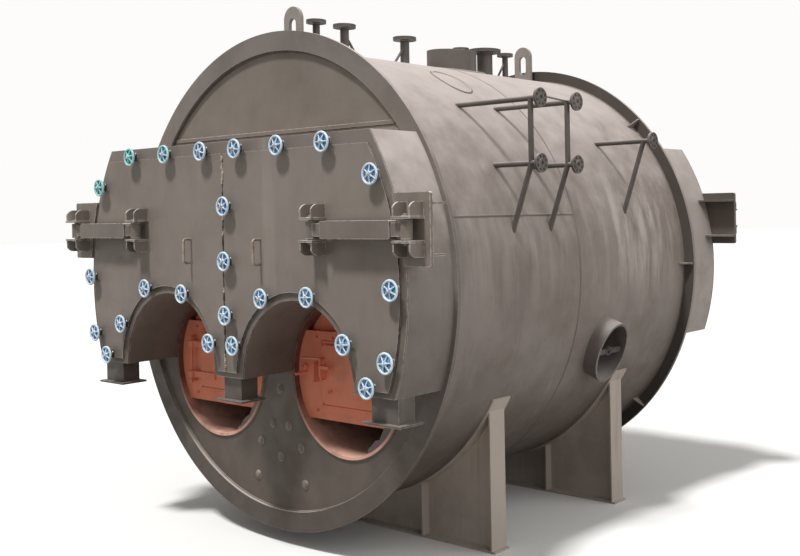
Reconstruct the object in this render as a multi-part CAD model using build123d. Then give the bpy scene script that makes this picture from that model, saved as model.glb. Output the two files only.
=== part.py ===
from build123d import *
import math
import os

# Boiler axis along Y, front facing -Y, +Z up; every size in millimetres.
# Shapes are drawn about the boiler axis with y = 0 on the front ring face,
# then moved so that the floor under the front saddle is the origin.

# furnaces; they and the water space round them set the size of the shell
LENGTH = 2641.0
FURNACE_R = 480.0
FURNACE_T = 18.0
FURNACE_APART = 284.0
FURNACE_X = FURNACE_R + FURNACE_T + FURNACE_APART / 2
FURNACE_Z = -575.0
FURNACE_PROUD = 12.0
FURNACE_REAR_GAP = 641.0
WATER_SPACE = 116.64

# shell and end plates
SHELL_T = 20.0
SHELL_R = math.hypot(FURNACE_X, FURNACE_Z) + FURNACE_R + FURNACE_T + WATER_SPACE + SHELL_T
RING_T = 25.0
RING_W = 105.0
RING_R = SHELL_R + RING_W
REAR_RING_W = 90.0
REAR_RING_R = SHELL_R + REAR_RING_W
REAR_RIBS = 8
RIB_TURN = 0.0
RIB_DEPTH = 70.0
RIB_T = 10.0
RIB_EDGE = 8.0
PLATE_T = 25.0
FIT = 0.3
UNDER_SHELL = 203.0
AXIS_H = SHELL_R + UNDER_SHELL

# domed stay ends on the front end plate: x, and height over the lowest point of its edge
STAYS = ((0, 773), (83, 544), (203, 415), (0, 335), (238, 188))
STAY_R = 24.0
STAY_PROUD = 9.0

# fire fronts and fire doors
FRONT_PLATE_TOP = 265.0
FRONT_PLATE_BOTTOM = 285.0
FIRE_PLATE_T = 12.0
FIRE_Y = 52.0
CROWN_BACK = 50.0
SHELF_HALF = 360.0
FIRE_HOLE_W = 400.0
FIRE_HOLE_H = 300.0
FIRE_DOOR_LAP = 35.0
FIRE_DOOR_T = 20.0
FIRE_DOOR_GAP = 2.0
FIRE_DOOR_CORNER = 40.0
STRAP_Z = 105.0
STRAP_H = 44.0
STRAP_T = 12.0
STRAP_START = 60.0
FIRE_DOOR_GRIP_OUT = 45.0
FIRE_DOOR_GRIP_T = 20.0
FIRE_DOOR_GRIP_H = 70.0
FIRE_DOOR_GRIP_L = 80.0
FIRE_PIVOT_X = 325.0
FIRE_PIVOT_R = 9.0
FIRE_PIVOT_OUT = 34.0
FIRE_EAR_Z = 150.0
FIRE_EAR_W = 30.0
FIRE_EAR_T = 16.0
LATCH_X = 292.0
LATCH_T = 16.0
LATCH_OUT = 42.0
LATCH_H = 120.0
LATCH_Z = 10.0

# smokeboxes
BOX_STEP = 30.0
BOX_R = RING_R - BOX_STEP
BOX_TOP = 882.0
BOX_T = 10.0
BOX_DEPTH = 345.0
REAR_BOX_DEPTH = 300.0
REAR_BOX_RISE = 40.0
TUNNEL_GAP = 2.0
TUNNEL_R = FURNACE_R + FURNACE_T + TUNNEL_GAP
FLANGE_T = 12.0
LAP_STRIP_H = 38.0
FOOT_W = 210.0
CENTRE_FOOT_W = 170.0
FOOT_D = 120.0
FOOT_H = 140.0
FOOT_T = 8.0
SOLE_T = 12.0
SOLE_SIDE = 40.0
SOLE_ENDS = 30.0
FOOT_IN = 106.0
FOOT_X = math.sqrt(BOX_R ** 2 - FURNACE_Z ** 2) - FOOT_IN
FOOT_BACK = 75.0

# smokebox doors
DOOR_STEP = 45.0
DOOR_R = BOX_R - DOOR_STEP
DOOR_TOP = BOX_TOP - 74.0
DOOR_BOTTOM = FURNACE_Z + 35.0
DOOR_ARCH_STEP = 46.0
DOOR_ARCH_R = TUNNEL_R + DOOR_ARCH_STEP
DOOR_SPLIT = -12.0
DOOR_GAP = 4.0
DOOR_T = 12.0
DOOR_SEAT = 2.0
DOOR_LAP = 48.0
LINING_IN = 60.0
LINING_DEPTH = 40.0

# handwheel clamps, each a margin inside the door edge that it holds
WHEEL_R = 61.0
WHEEL_RIM = 10.0
WHEEL_T = 12.0
WHEEL_SIDES = 12
SPOKE_W = 8.0
HUB_R = 16.0
CLAMP_OUT = 54.0
STUD_R = 9.0
STUD_END = 14.0
BLOCK_W = 34.0
BLOCK_L = 46.0
BLOCK_H = 24.0
TOP_WHEELS = (175.0, 574.0, 976.0)
TOP_WHEEL_IN = 10.0
SIDE_WHEEL_IN = 13.0
SIDE_WHEEL_Z = (633.0, 14.0, -373.0)
SIDE_WHEEL_SHIFT = 10.0
CORNER_WHEEL_IN = 128.0
BOTTOM_WHEEL_IN = 22.0
ARCH_WHEEL_DEG = (30.0, 71.0, 115.0, 158.0)
ARCH_WHEEL_IN = 12.0
CENTRE_WHEEL_IN = 64.0
CENTRE_WHEEL_Z = (480.0, 144.0, -186.0)

# door grips
GRIP_X = 355.0
GRIP_Z = 203.0
GRIP_H = 150.0
GRIP_OUT = 55.0
GRIP_R = 8.0
GRIP_BEND = 16.0

# hinges: bracket pin, arm, door pin
PIN_STEP = 77.0
PIN_X = BOX_R + PIN_STEP
ARM_REACH = 755.0
DOOR_PIN_X = PIN_X - ARM_REACH
PIN_OUT = 59.0
PIN_R = 16.0
PIN_CLEAR = 1.0
PIN_END = 14.0
HINGE_Z = 335.0
YOKE_OPEN = 114.0
YOKE_T = 12.0
YOKE_END = 46.0
YOKE_W = 138.0
DOOR_YOKE_W = 112.0
ARM_H = 100.0
ARM_D = 56.0
ARM_CORNER = 14.0
BEAM_IN = 100.0
BOSS_R = 32.0
BRACKET_STEP = 190.0
BRACKET_X = BOX_R + BRACKET_STEP
BRACKET_T = 20.0
BRACKET_H = 390.0
BRACKET_CORNER = 14.0
STAY_PLATE_Z = 135.0
STAY_PLATE_T = 12.0
STAY_PLATE_L = 100.0
STAY_PLATE_IN = 6.0
GUSSET_H = 76.0
GUSSET_T = 10.0
GUSSET_NOSE = 0.6
GUSSET_FLAT = 0.45
GUSSET_BULGE = 0.77
GUSSET_BACK = 4.0
GUSSET_IN = 9.0

# saddles
FRONT_SADDLE_Y = 695.0
SADDLE_FROM_REAR = 631.0
SADDLE_Y = (FRONT_SADDLE_Y, LENGTH - SADDLE_FROM_REAR)
SADDLE_IN = 230.0
SADDLE_X = SHELL_R - SADDLE_IN
SADDLE_W = 140.0
SADDLE_T = 12.0
BASE_PROUD = 25.0
SADDLE_RIB_X = 655.0
PAD_T = 12.0
PAD_W = 165.0
PAD_PROUD = 45.0

# manholes
MAN_LONG = 400.0
MAN_SHORT = 300.0
MAN_T = 16.0
TOP_MAN_FROM_REAR = 941.0
TOP_MAN_Y = LENGTH - TOP_MAN_FROM_REAR
TOP_MAN_RISE = 160.0
SIDE_MAN_FROM_REAR = 1006.0
SIDE_MAN_Y = LENGTH - SIDE_MAN_FROM_REAR
SIDE_MAN_DEG = -20.5
SIDE_MAN_RISE = 105.0
MAN_PAD_T = 12.0
MAN_PAD_W = 75.0
MAN_SKIRT = 60.0
COVER_T = 16.0
COVER_LAP = 8.0
COVER_SPIGOT = 10.0
BRIDGE_DOWN = 25.0
BRIDGE_T = 20.0
BRIDGE_W = 34.0
COVER_STUD_R = 12.0

# lifting lugs
FRONT_LUG_Y = 188.0
LUG_FROM_REAR = 66.0
LUG_Y = (FRONT_LUG_Y, LENGTH - LUG_FROM_REAR)
LUG_W = 170.0
LUG_T = 25.0
LUG_RISE = 295.0
LUG_SLOT_W = 72.0
LUG_SLOT = (65.0, 217.0)

# top nozzles: x, distance from the front or rear end, flange radius, stem radius,
# rise over the crown, brace reach along y
FRONT_NOZZLES = ((0.0, 375.0, 66.0, 24.0, 233.0, 0.0), (0.0, 622.0, 78.0, 30.0, 233.0, 130.0))
REAR_NOZZLES = ((-200.0, 618.0, 66.0, 24.0, 250.0, 95.0), (0.0, 303.0, 66.0, 24.0, 217.0, -110.0))
VALVE_NOZZLE = (0.0, 1197.0, 85.0, 33.0, 215.0, -120.0)
REAR_STEAM_NOZZLE = (0.0, 556.0, 130.0, 62.0, 221.0, 0.0)
NOZZLE_FLANGE_T = 24.0
NOZZLE_BORE = 0.8
BRACE_R = 9.0
BRACE_DOWN = 60.0

# gauge stand-pipes
GAUGE_Y = (657.0, 1023.0)
GAUGE_TOP_Z = 1097.0
GAUGE_MID_Z = 705.0
GAUGE_END_Z = 296.0
GAUGE_PIPE_STEP = 113.0
GAUGE_FACE_STEP = 195.0
GAUGE_R = 17.0
GAUGE_FLANGE_R = 58.0
GAUGE_FLANGE_T = 16.0
GAUGE_FROM_REAR = 732.0
REAR_GAUGE_Y = LENGTH - GAUGE_FROM_REAR
REAR_GAUGE_Z = 890.0
REAR_GAUGE_END_Z = 392.0



def from_rear(spec):
    """A nozzle measured from the rear end, given from the front end instead."""
    return spec[:1] + (LENGTH - spec[1],) + spec[2:]


SMALL_NOZZLES = FRONT_NOZZLES + tuple(from_rear(spec) for spec in REAR_NOZZLES)
STEAM_NOZZLE = from_rear(REAR_STEAM_NOZZLE)
HOME = Pos(0, -FRONT_SADDLE_Y, AXIS_H)


def slab(face, y0, y1):
    """A flat piece whose outline lies in X and Z, from y0 back to y1."""
    return Plane.XZ * Pos(0, 0, -y1) * extrude(face, y1 - y0)


def box_between(x0, x1, y0, y1, z0, z1):
    """A square block between two corners."""
    centre = Pos((x0 + x1) / 2, (y0 + y1) / 2, (z0 + z1) / 2)
    return centre * Box(abs(x1 - x0), abs(y1 - y0), abs(z1 - z0))


def upright(x, y, z0, z1, radius):
    """A round bar standing along Z."""
    return Pos(x, y, (z0 + z1) / 2) * Cylinder(radius, z1 - z0)


def bar(start, end, radius):
    """A round bar from one point to another."""
    a = Vector(*start)
    b = Vector(*end)
    axis = Plane(origin=a, z_dir=b - a)
    return axis * Pos(0, 0, (b - a).length / 2) * Cylinder(radius, (b - a).length)


def window(x0, x1, z0, z1):
    """A rectangle drawn in X and Z."""
    return Pos((x0 + x1) / 2, (z0 + z1) / 2) * Rectangle(x1 - x0, z1 - z0)


def both_sides(maker, *sizes):
    """A piece on the right and its mirror image on the left."""
    right = maker(*sizes)
    return right, mirror(right, about=Plane.YZ)


def to_rear(piece):
    """The same piece or group of pieces mirrored to the rear end."""
    middle = Plane.XZ.offset(-LENGTH / 2)
    solids = [mirror(solid, about=middle) for solid in piece.solids()]
    return solids[0] if len(solids) == 1 else Compound(children=solids)


# The boiler body


def shell():
    """Rolled shell between the end rings, cut for manholes, nozzles and gauge pipes."""
    bore_r = SHELL_R - SHELL_T
    body = slab(Circle(SHELL_R) - Circle(bore_r), RING_T, LENGTH - RING_T)
    body -= Pos(0, TOP_MAN_Y, SHELL_R) * extrude(man_oval(MAN_T), MAN_SHORT / 2, both=True)
    body -= side_manhole_plane(SHELL_R) * extrude(man_oval(MAN_T), MAN_SHORT / 2, both=True)
    for x, y, _, stem_r, _, _ in SMALL_NOZZLES + (VALVE_NOZZLE, STEAM_NOZZLE):
        body -= upright(x, y, SHELL_R - 5 * SHELL_T, SHELL_R + SHELL_T, stem_r * NOZZLE_BORE)
    return body


def end_ring(radius, y0, ribs):
    """Flat ring on the end of the shell, with gusset ribs behind it where asked, none below the crown lug."""
    ring = slab(Circle(radius) - Circle(SHELL_R - SHELL_T), y0, y0 + RING_T)
    for k in range(1 - ribs // 4, ribs - ribs // 4):
        corners = ((SHELL_R, y0), (radius - RIB_EDGE, y0), (radius - RIB_EDGE, y0 - 2 * RIB_EDGE),
                   (SHELL_R + RIB_EDGE, y0 - RIB_DEPTH), (SHELL_R, y0 - RIB_DEPTH))
        rib = extrude(make_face(Polyline(*corners, close=True)), RIB_T / 2, both=True)
        ring += Rot(0, RIB_TURN + k * 360 / ribs, 0) * rib
    return ring


def plate_face():
    """Outline of an end plate inside the shell."""
    return Circle(SHELL_R - SHELL_T)


def front_plate():
    """Front end plate with the two furnace holes and the domed stay ends."""
    face = plate_face()
    for side in (-1, 1):
        face -= Pos(side * FURNACE_X, FURNACE_Z) * Circle(FURNACE_R + FURNACE_T)
    plate = slab(face, RING_T, RING_T + PLATE_T)
    for x, rise in STAYS:
        for side in ((1,) if x == 0 else (-1, 1)):
            boss = Pos(side * x, SHELL_T - SHELL_R + rise) * Circle(STAY_R)
            plate += slab(boss, RING_T - STAY_PROUD, RING_T + 1)
    return plate


def rear_plate():
    """Plain rear end plate."""
    return slab(plate_face(), LENGTH - RING_T - PLATE_T, LENGTH - RING_T)


def furnace_tube():
    """Right furnace: a plain tube with a welded end, its mouth just proud of the front plate."""
    centre = Pos(FURNACE_X, FURNACE_Z)
    y0 = RING_T - FURNACE_PROUD
    y1 = LENGTH - FURNACE_REAR_GAP + y0
    tube = slab(centre * (Circle(FURNACE_R + FURNACE_T) - Circle(FURNACE_R)), y0, y1)
    return tube + slab(centre * Circle(FURNACE_R + FURNACE_T), y1, y1 + FURNACE_T)


def fire_front():
    """Right fire front: plate across the furnace mouth with the stoking hole, open below for the ash pit."""
    disc = Circle(FURNACE_R - FIT) & window(-FURNACE_R, FURNACE_R, -FRONT_PLATE_BOTTOM, FRONT_PLATE_TOP)
    hole = window(-FIRE_HOLE_W / 2, FIRE_HOLE_W / 2, -FIRE_HOLE_H / 2, FIRE_HOLE_H / 2)
    plate = slab(disc - hole, FIRE_Y, FIRE_Y + FIRE_PLATE_T)
    crown = Circle(FURNACE_R - FIT) & window(-FURNACE_R, FURNACE_R, FRONT_PLATE_TOP, FURNACE_R)
    back = FIRE_Y + CROWN_BACK
    plate += slab(crown, back, back + FIRE_PLATE_T)
    top = FRONT_PLATE_TOP
    plate += box_between(-SHELF_HALF, SHELF_HALF, FIRE_Y, back + FIRE_PLATE_T / 2, top - FIRE_PLATE_T, top)
    out = FIRE_Y - FIRE_PIVOT_OUT
    half = FIRE_EAR_W / 2
    for z in (-FIRE_EAR_Z, FIRE_EAR_Z):
        z0 = z - FIRE_EAR_T / 2
        plate += box_between(FIRE_PIVOT_X - half, FIRE_PIVOT_X + half, out - half, FIRE_Y, z0, z0 + FIRE_EAR_T)
    end_z = FIRE_EAR_Z + FIRE_EAR_T
    plate += upright(FIRE_PIVOT_X, out, -end_z, end_z, FIRE_PIVOT_R)
    latch = box_between(0, LATCH_T, FIRE_Y - LATCH_OUT, FIRE_Y, -LATCH_H / 2, LATCH_H / 2)
    plate += Pos(-LATCH_X - LATCH_T / 2, 0, LATCH_Z) * latch
    return Pos(FURNACE_X, 0, FURNACE_Z) * plate


def fire_door():
    """Right fire door: plate over the stoking hole on two straps that turn on the pivot."""
    half_w = FIRE_HOLE_W / 2 + FIRE_DOOR_LAP
    half_h = FIRE_HOLE_H / 2 + FIRE_DOOR_LAP
    y1 = FIRE_Y - FIRE_DOOR_GAP
    y0 = y1 - FIRE_DOOR_T
    door = slab(RectangleRounded(2 * half_w, 2 * half_h, FIRE_DOOR_CORNER), y0, y1)
    pivot_y = FIRE_Y - FIRE_PIVOT_OUT
    for z in (-STRAP_Z, STRAP_Z):
        low = z - STRAP_H / 2
        strap = box_between(STRAP_START, FIRE_PIVOT_X, y0 - STRAP_T, y0, low, low + STRAP_H)
        strap += Pos(FIRE_PIVOT_X, pivot_y, z) * Cylinder(STRAP_H / 2, STRAP_H)
        strap -= upright(FIRE_PIVOT_X, pivot_y, z - STRAP_H, z + STRAP_H, FIRE_PIVOT_R + PIN_CLEAR)
        door += strap
    out_y = y0 - FIRE_DOOR_GRIP_OUT
    grip_x = -FIRE_HOLE_W / 2
    half = FIRE_DOOR_GRIP_T / 2
    door += box_between(grip_x - half, grip_x + half, out_y, y0, -half, FIRE_DOOR_GRIP_H - half)
    top = FIRE_DOOR_GRIP_H - half
    door += box_between(grip_x - half, grip_x + FIRE_DOOR_GRIP_L, out_y, out_y + FIRE_DOOR_GRIP_T, top - 2 * half, top)
    return Pos(FURNACE_X, 0, FURNACE_Z) * door


# Smokebox


def box_outline(inset, arches):
    """Smokebox front outline drawn in by a margin: a circle cut flat above and below, arched over the furnaces."""
    radius = BOX_R - inset
    bottom = FURNACE_Z if arches else FURNACE_Z + REAR_BOX_RISE
    face = Circle(radius) & window(-radius, radius, bottom + inset, BOX_TOP - inset)
    if arches:
        for side in (-1, 1):
            face -= Pos(side * FURNACE_X, FURNACE_Z) * Circle(TUNNEL_R + inset)
    return face


def smokebox(depth, arches):
    """Folded casing of a smokebox, standing on the front ring and end plate."""
    wrap = box_outline(0, arches) - box_outline(BOX_T, arches)
    body = slab(wrap, -depth, RING_T)
    body -= slab(Circle(RING_R) - Circle(SHELL_R - SHELL_T), 0, 2 * RING_T)
    inner = math.sqrt((SHELL_R - SHELL_T) ** 2 - (BOX_TOP + LAP_STRIP_H) ** 2) - BOX_T / 2
    body += box_between(-inner, inner, RING_T - BOX_T, RING_T, BOX_TOP - BOX_T, BOX_TOP + LAP_STRIP_H)
    return body


def door_outline(inset, arches, right=True):
    """Outline of the right-hand door, or of the left-hand one, drawn in by a margin."""
    radius = DOOR_R - inset
    edge = DOOR_SPLIT + DOOR_GAP / 2 + inset if right else -radius
    limit = radius if right else DOOR_SPLIT - DOOR_GAP / 2 - inset
    bottom = DOOR_BOTTOM if arches else DOOR_BOTTOM + REAR_BOX_RISE
    face = Circle(radius) & window(edge, limit, bottom + inset, DOOR_TOP - inset)
    if arches:
        side = 1 if right else -1
        face -= Pos(side * FURNACE_X, FURNACE_Z) * Circle(DOOR_ARCH_R + inset)
    return face


def door_frame(depth, arches):
    """Flat flange on the smokebox mouth with one opening for each door and a bar between them."""
    face = box_outline(0, arches)
    face -= door_outline(DOOR_LAP, arches, True)
    face -= door_outline(DOOR_LAP, arches, False)
    return slab(face, -depth - FLANGE_T, -depth)


def door_face_y(depth):
    """Y of the outer face of a closed door."""
    return -depth - FLANGE_T - DOOR_SEAT - DOOR_T


def door(depth, arches, right):
    """Door plate, lapping the flange all round its opening."""
    y0 = door_face_y(depth)
    return slab(door_outline(0, arches, right), y0, y0 + DOOR_T)


def door_lining(depth, arches, right):
    """Insulation slab on the back of a door, well inside the flange's opening."""
    y0 = door_face_y(depth) + DOOR_T
    return slab(door_outline(DOOR_LAP + LINING_IN, arches, right), y0, y0 + LINING_DEPTH)


def handwheel():
    """Clamp of a door: block on the door face, stud and spoked handwheel, facing -Y."""
    rim = RegularPolygon(WHEEL_R, WHEEL_SIDES) - RegularPolygon(WHEEL_R - WHEEL_RIM, WHEEL_SIDES)
    reach = WHEEL_R - WHEEL_RIM / 2
    for turn in (0, 60, 120):
        rim += Rot(0, 0, turn + 15) * Rectangle(2 * reach, SPOKE_W)
    rim += RegularPolygon(HUB_R, 8)
    wheel = slab(rim, -CLAMP_OUT, -CLAMP_OUT + WHEEL_T)
    wheel += slab(RegularPolygon(STUD_R, 8), -CLAMP_OUT - STUD_END, 0)
    wheel += box_between(-BLOCK_W / 2, BLOCK_W / 2, -BLOCK_H, 0, -BLOCK_L / 2, BLOCK_L / 2)
    return wheel


def clamp_places(arches, right):
    """Places of the handwheels of one door as x, z and turn of the clamp block."""
    side = 1 if right else -1
    places = [(side * x, DOOR_TOP - TOP_WHEEL_IN, 0) for x in TOP_WHEELS]
    low = DOOR_BOTTOM + BOTTOM_WHEEL_IN
    if arches:
        for z in SIDE_WHEEL_Z:
            x = math.sqrt((DOOR_R - SIDE_WHEEL_IN) ** 2 - z ** 2) - SIDE_WHEEL_SHIFT
            places.append((side * x, z, 90))
        places.append((side * (math.sqrt(DOOR_R ** 2 - low ** 2) - CORNER_WHEEL_IN), low, 0))
        for angle in ARCH_WHEEL_DEG:
            reach = DOOR_ARCH_R + ARCH_WHEEL_IN
            x = FURNACE_X + reach * math.cos(math.radians(angle))
            z = FURNACE_Z + reach * math.sin(math.radians(angle))
            places.append((side * x, z, 0))
    else:
        places += [(side * x, low + REAR_BOX_RISE, 0) for x in TOP_WHEELS]
    if right:
        places += [(DOOR_SPLIT + CENTRE_WHEEL_IN, z, 90) for z in CENTRE_WHEEL_Z]
    return places


def clamps(depth, arches, right):
    """All handwheel clamps of one door."""
    wheel = handwheel()
    y0 = door_face_y(depth)
    parts = [Pos(x, y0, z) * Rot(0, turn, 0) * wheel for x, z, turn in clamp_places(arches, right)]
    return Compound(children=parts)


def grip(depth, right):
    """Bent round bar that a door is pulled by."""
    side = 1 if right else -1
    y0 = door_face_y(depth)
    x = side * GRIP_X
    z0 = GRIP_Z - GRIP_H / 2
    z1 = GRIP_Z + GRIP_H / 2
    corners = ((x, y0, z0), (x, y0 - GRIP_OUT, z0), (x, y0 - GRIP_OUT, z1), (x, y0, z1))
    path = FilletPolyline(*corners, radius=GRIP_BEND)
    return sweep(Plane(origin=(x, y0, z0), z_dir=(0, -1, 0)) * Circle(GRIP_R), path)


# Hinges


def gusset(height, depth):
    """Rib with its outer corner rounded away, drawn in x (out) and y (up)."""
    nose = height * GUSSET_NOSE
    flat = depth * GUSSET_FLAT
    edge = [Line((0, 0), (depth, 0)), Line((depth, 0), (depth, nose))]
    edge += [ThreePointArc((depth, nose), (depth * GUSSET_BULGE, height * 0.92), (flat, height))]
    edge += [Line((flat, height), (0, height)), Line((0, height), (0, 0))]
    return extrude(make_face(edge), GUSSET_T / 2, both=True)


def yoke(reach, width, with_pin):
    """Two plates with curved ribs above and below, standing out from a back face along +X, pin upright."""
    parts = []
    for side in (-1, 1):
        z0 = side * YOKE_OPEN / 2
        z1 = z0 + side * YOKE_T
        parts.append(box_between(0, reach, -width / 2, width / 2, z0, z1))
        for y in (GUSSET_IN - width / 2, width / 2 - GUSSET_IN):
            rib = gusset(GUSSET_H, reach - GUSSET_BACK)
            rib = Plane(origin=(0, y, z1), x_dir=(1, 0, 0), z_dir=(0, -side, 0)) * rib
            parts.append(rib)
    body = parts[0]
    for piece in parts[1:]:
        body += piece
    if with_pin:
        end = YOKE_OPEN / 2 + YOKE_T + PIN_END
        body += upright(with_pin, 0, -end, end, PIN_R)
    return body


def hinge_yoke(x, y0, width):
    """Yoke with its pin on an upright face at y0, pointing forward."""
    piece = yoke(PIN_OUT + YOKE_END, width, PIN_OUT)
    return Plane(origin=(x, y0, HINGE_Z), x_dir=(0, -1, 0), z_dir=(0, 0, 1)) * piece


def pin_y(depth):
    """Y of the hinge pins in front of a closed door."""
    return door_face_y(depth) - PIN_OUT


def hinge_bracket(depth):
    """Right bracket: flat plate on the smokebox flange's edge, stiffeners behind it, the outer yoke and pin."""
    y0 = door_face_y(depth)
    y1 = y0 + BRACKET_T
    width = 2 * BRACKET_STEP
    face = Pos(BRACKET_X - width / 2, HINGE_Z) * RectangleRounded(width, BRACKET_H, BRACKET_CORNER)
    plate = slab(face, y0, y1)
    edge = BRACKET_X - STAY_PLATE_IN
    for z in (HINGE_Z - STAY_PLATE_Z, HINGE_Z + STAY_PLATE_Z):
        z0 = z - STAY_PLATE_T / 2
        plate += box_between(BRACKET_X - width, edge, y1, y1 + STAY_PLATE_L, z0, z0 + STAY_PLATE_T)
    plate -= slab(Circle(BOX_R), 2 * y0, 0)
    return plate + hinge_yoke(PIN_X, y0, YOKE_W)


def hinge_arm(depth):
    """Right arm: box beam with a bored boss at each pin."""
    mid_y = pin_y(depth)
    x0 = DOOR_PIN_X
    x1 = PIN_X
    z0 = HINGE_Z - ARM_H / 2
    z1 = HINGE_Z + ARM_H / 2
    neck = BEAM_IN + ARM_CORNER
    face = Pos((x0 + x1) / 2, HINGE_Z) * RectangleRounded(x1 - x0 - 2 * BEAM_IN, ARM_H, ARM_CORNER)
    beam = slab(face, mid_y - ARM_D / 2, mid_y + ARM_D / 2)
    for x, way in ((x0, 1), (x1, -1)):
        beam += upright(x, mid_y, z0, z1, BOSS_R)
        side_y = mid_y - PIN_R
        beam += box_between(x, x + way * neck, side_y, side_y + 2 * PIN_R, z0 + ARM_CORNER, z1 - ARM_CORNER)
    for x in (x0, x1):
        beam -= upright(x, mid_y, z0 - ARM_H, z1 + ARM_H, PIN_R + PIN_CLEAR)
    return beam


def door_yoke(depth):
    """Right door yoke: the inner yoke and pin on the door face."""
    return hinge_yoke(DOOR_PIN_X, door_face_y(depth), DOOR_YOKE_W)


def feet(depth):
    """Stub brackets under the smokebox, each a box on a flat sole."""
    parts = []
    z0 = FURNACE_Z - FOOT_H
    y0 = FOOT_BACK - FOOT_D / 2 - depth
    y1 = y0 + FOOT_D
    for x, width in ((-FOOT_X, FOOT_W), (0, CENTRE_FOOT_W), (FOOT_X, FOOT_W)):
        half = width / 2
        inner = half - FOOT_T
        block = box_between(-half, half, y0, y1, z0, FURNACE_Z)
        block -= box_between(-inner, inner, y0 + FOOT_T, y1 - FOOT_T, z0 - FOOT_T, FURNACE_Z - FOOT_T)
        sole = half + SOLE_SIDE
        block += box_between(-sole, sole, y0 - SOLE_ENDS, y1 + SOLE_ENDS, z0 - SOLE_T, z0)
        parts.append(Pos(x, 0, 0) * block)
    return Compound(children=parts)


# Saddles


def saddle(y):
    """Web plate on a base plate, with end plates, ribs and the wrapper pad that carries the shell."""
    z_base = -AXIS_H
    half = SADDLE_W / 2
    pad_r = SHELL_R + PAD_T
    base = SADDLE_X + BASE_PROUD
    body = box_between(-base, base, y - half, y + half, z_base, z_base + SADDLE_T)
    web = window(-SADDLE_X, SADDLE_X, z_base, 0) - Circle(pad_r)
    body += slab(web, y - SADDLE_T / 2, y + SADDLE_T / 2)
    for x in (-SADDLE_X, -SADDLE_RIB_X, 0, SADDLE_RIB_X, SADDLE_X):
        inward = -math.copysign(SADDLE_T, x) if abs(x) == SADDLE_X else SADDLE_T
        rib = box_between(x, x + inward, y - half, y + half, z_base, 0)
        body += rib - slab(Circle(pad_r), y - SADDLE_W, y + SADDLE_W)
    reach = math.degrees(math.asin((SADDLE_X + PAD_PROUD) / pad_r))
    ring = Circle(pad_r) - Circle(SHELL_R)
    arc = [(0, 0)]
    for k in range(9):
        a = math.radians(-90 - reach + k * reach / 4)
        arc.append((2 * pad_r * math.cos(a), 2 * pad_r * math.sin(a)))
    wedge = make_face(Polyline(*arc, close=True))
    body += slab(ring & wedge, y - PAD_W / 2, y + PAD_W / 2)
    return body


# Manholes, lugs, nozzles and gauge pipes


def side_manhole_plane(radius):
    """Plane square to the shell at the side manhole, its y axis round the shell."""
    a = math.radians(SIDE_MAN_DEG)
    out = (math.cos(a), 0, math.sin(a))
    centre = (radius * out[0], SIDE_MAN_Y, radius * out[2])
    return Plane(origin=centre, x_dir=(0, 1, 0), z_dir=out)


def man_oval(margin):
    """Manhole oval, its long way along y, let out by a margin."""
    return Ellipse(MAN_SHORT / 2 + margin, MAN_LONG / 2 + margin)


def collar(top):
    """Oval collar from its mouth down through the shell to where the cover seats."""
    bottom = SHELL_R - MAN_SKIRT
    return Pos(0, 0, bottom) * extrude(man_oval(MAN_T) - man_oval(0), top - bottom)


def top_manhole_collar():
    """Upright oval collar on the crown with its pad on the shell."""
    block = Pos(0, 0, SHELL_R) * extrude(man_oval(MAN_PAD_W) - man_oval(MAN_T), MAN_SHORT / 2, both=True)
    pad = Pos(0, TOP_MAN_Y, 0) * block & slab(Circle(SHELL_R + MAN_PAD_T) - Circle(SHELL_R), 0, LENGTH)
    return Pos(0, TOP_MAN_Y, 0) * collar(SHELL_R + TOP_MAN_RISE) + pad


def side_manhole_collar():
    """Oval collar standing out from the lower right of the shell."""
    return side_manhole_plane(0) * collar(SHELL_R + SIDE_MAN_RISE)


def manhole_cover(top):
    """Inside cover seated on the foot of the collar, with its stud and the bridge near the mouth."""
    seat = SHELL_R - MAN_SKIRT
    plate = Pos(0, 0, seat - COVER_T) * extrude(man_oval(MAN_T + COVER_LAP), COVER_T)
    plate += Pos(0, 0, seat) * extrude(man_oval(-10 * FIT), COVER_SPIGOT)
    bridge_top = top - BRIDGE_DOWN
    plate += Pos(0, 0, seat) * extrude(Circle(COVER_STUD_R), bridge_top + COVER_STUD_R - seat)
    bridge = Rectangle(MAN_LONG, BRIDGE_W) + Circle(2.5 * COVER_STUD_R) & man_oval(0)
    plate += Pos(0, 0, bridge_top - BRIDGE_T) * extrude(bridge, BRIDGE_T)
    return plate


def lug(y):
    """Upright lifting eye with a long slot and a round head."""
    head = SHELL_R + LUG_RISE - LUG_W / 2
    face = window(-LUG_W / 2, LUG_W / 2, SHELL_R - LUG_T, head) + Pos(0, head) * Circle(LUG_W / 2)
    z0, z1 = (SHELL_R + rise for rise in LUG_SLOT)
    half = LUG_SLOT_W / 2
    face -= window(-half, half, z0 + half, z1 - half)
    face -= Pos(0, z0 + half) * Circle(half)
    face -= Pos(0, z1 - half) * Circle(half)
    return slab(face, y - LUG_T / 2, y + LUG_T / 2) - slab(Circle(SHELL_R), 0, LENGTH)


def nozzle(spec):
    """Stem and flange bored through, with a slanting brace where it has one."""
    x, y, flange_r, stem_r, rise, brace = spec
    top = SHELL_R + rise
    foot = math.sqrt(SHELL_R ** 2 - x ** 2)
    body = upright(x, y, foot - stem_r, top, stem_r)
    body += upright(x, y, top - NOZZLE_FLANGE_T, top, flange_r)
    if brace:
        body += bar((x, y, top - BRACE_DOWN), (x, y + brace, foot - BRACE_R / 2), BRACE_R)
    body -= upright(x, y, foot - 2 * stem_r, top + stem_r, stem_r * NOZZLE_BORE)
    return body - slab(Circle(SHELL_R), 0, LENGTH)


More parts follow.
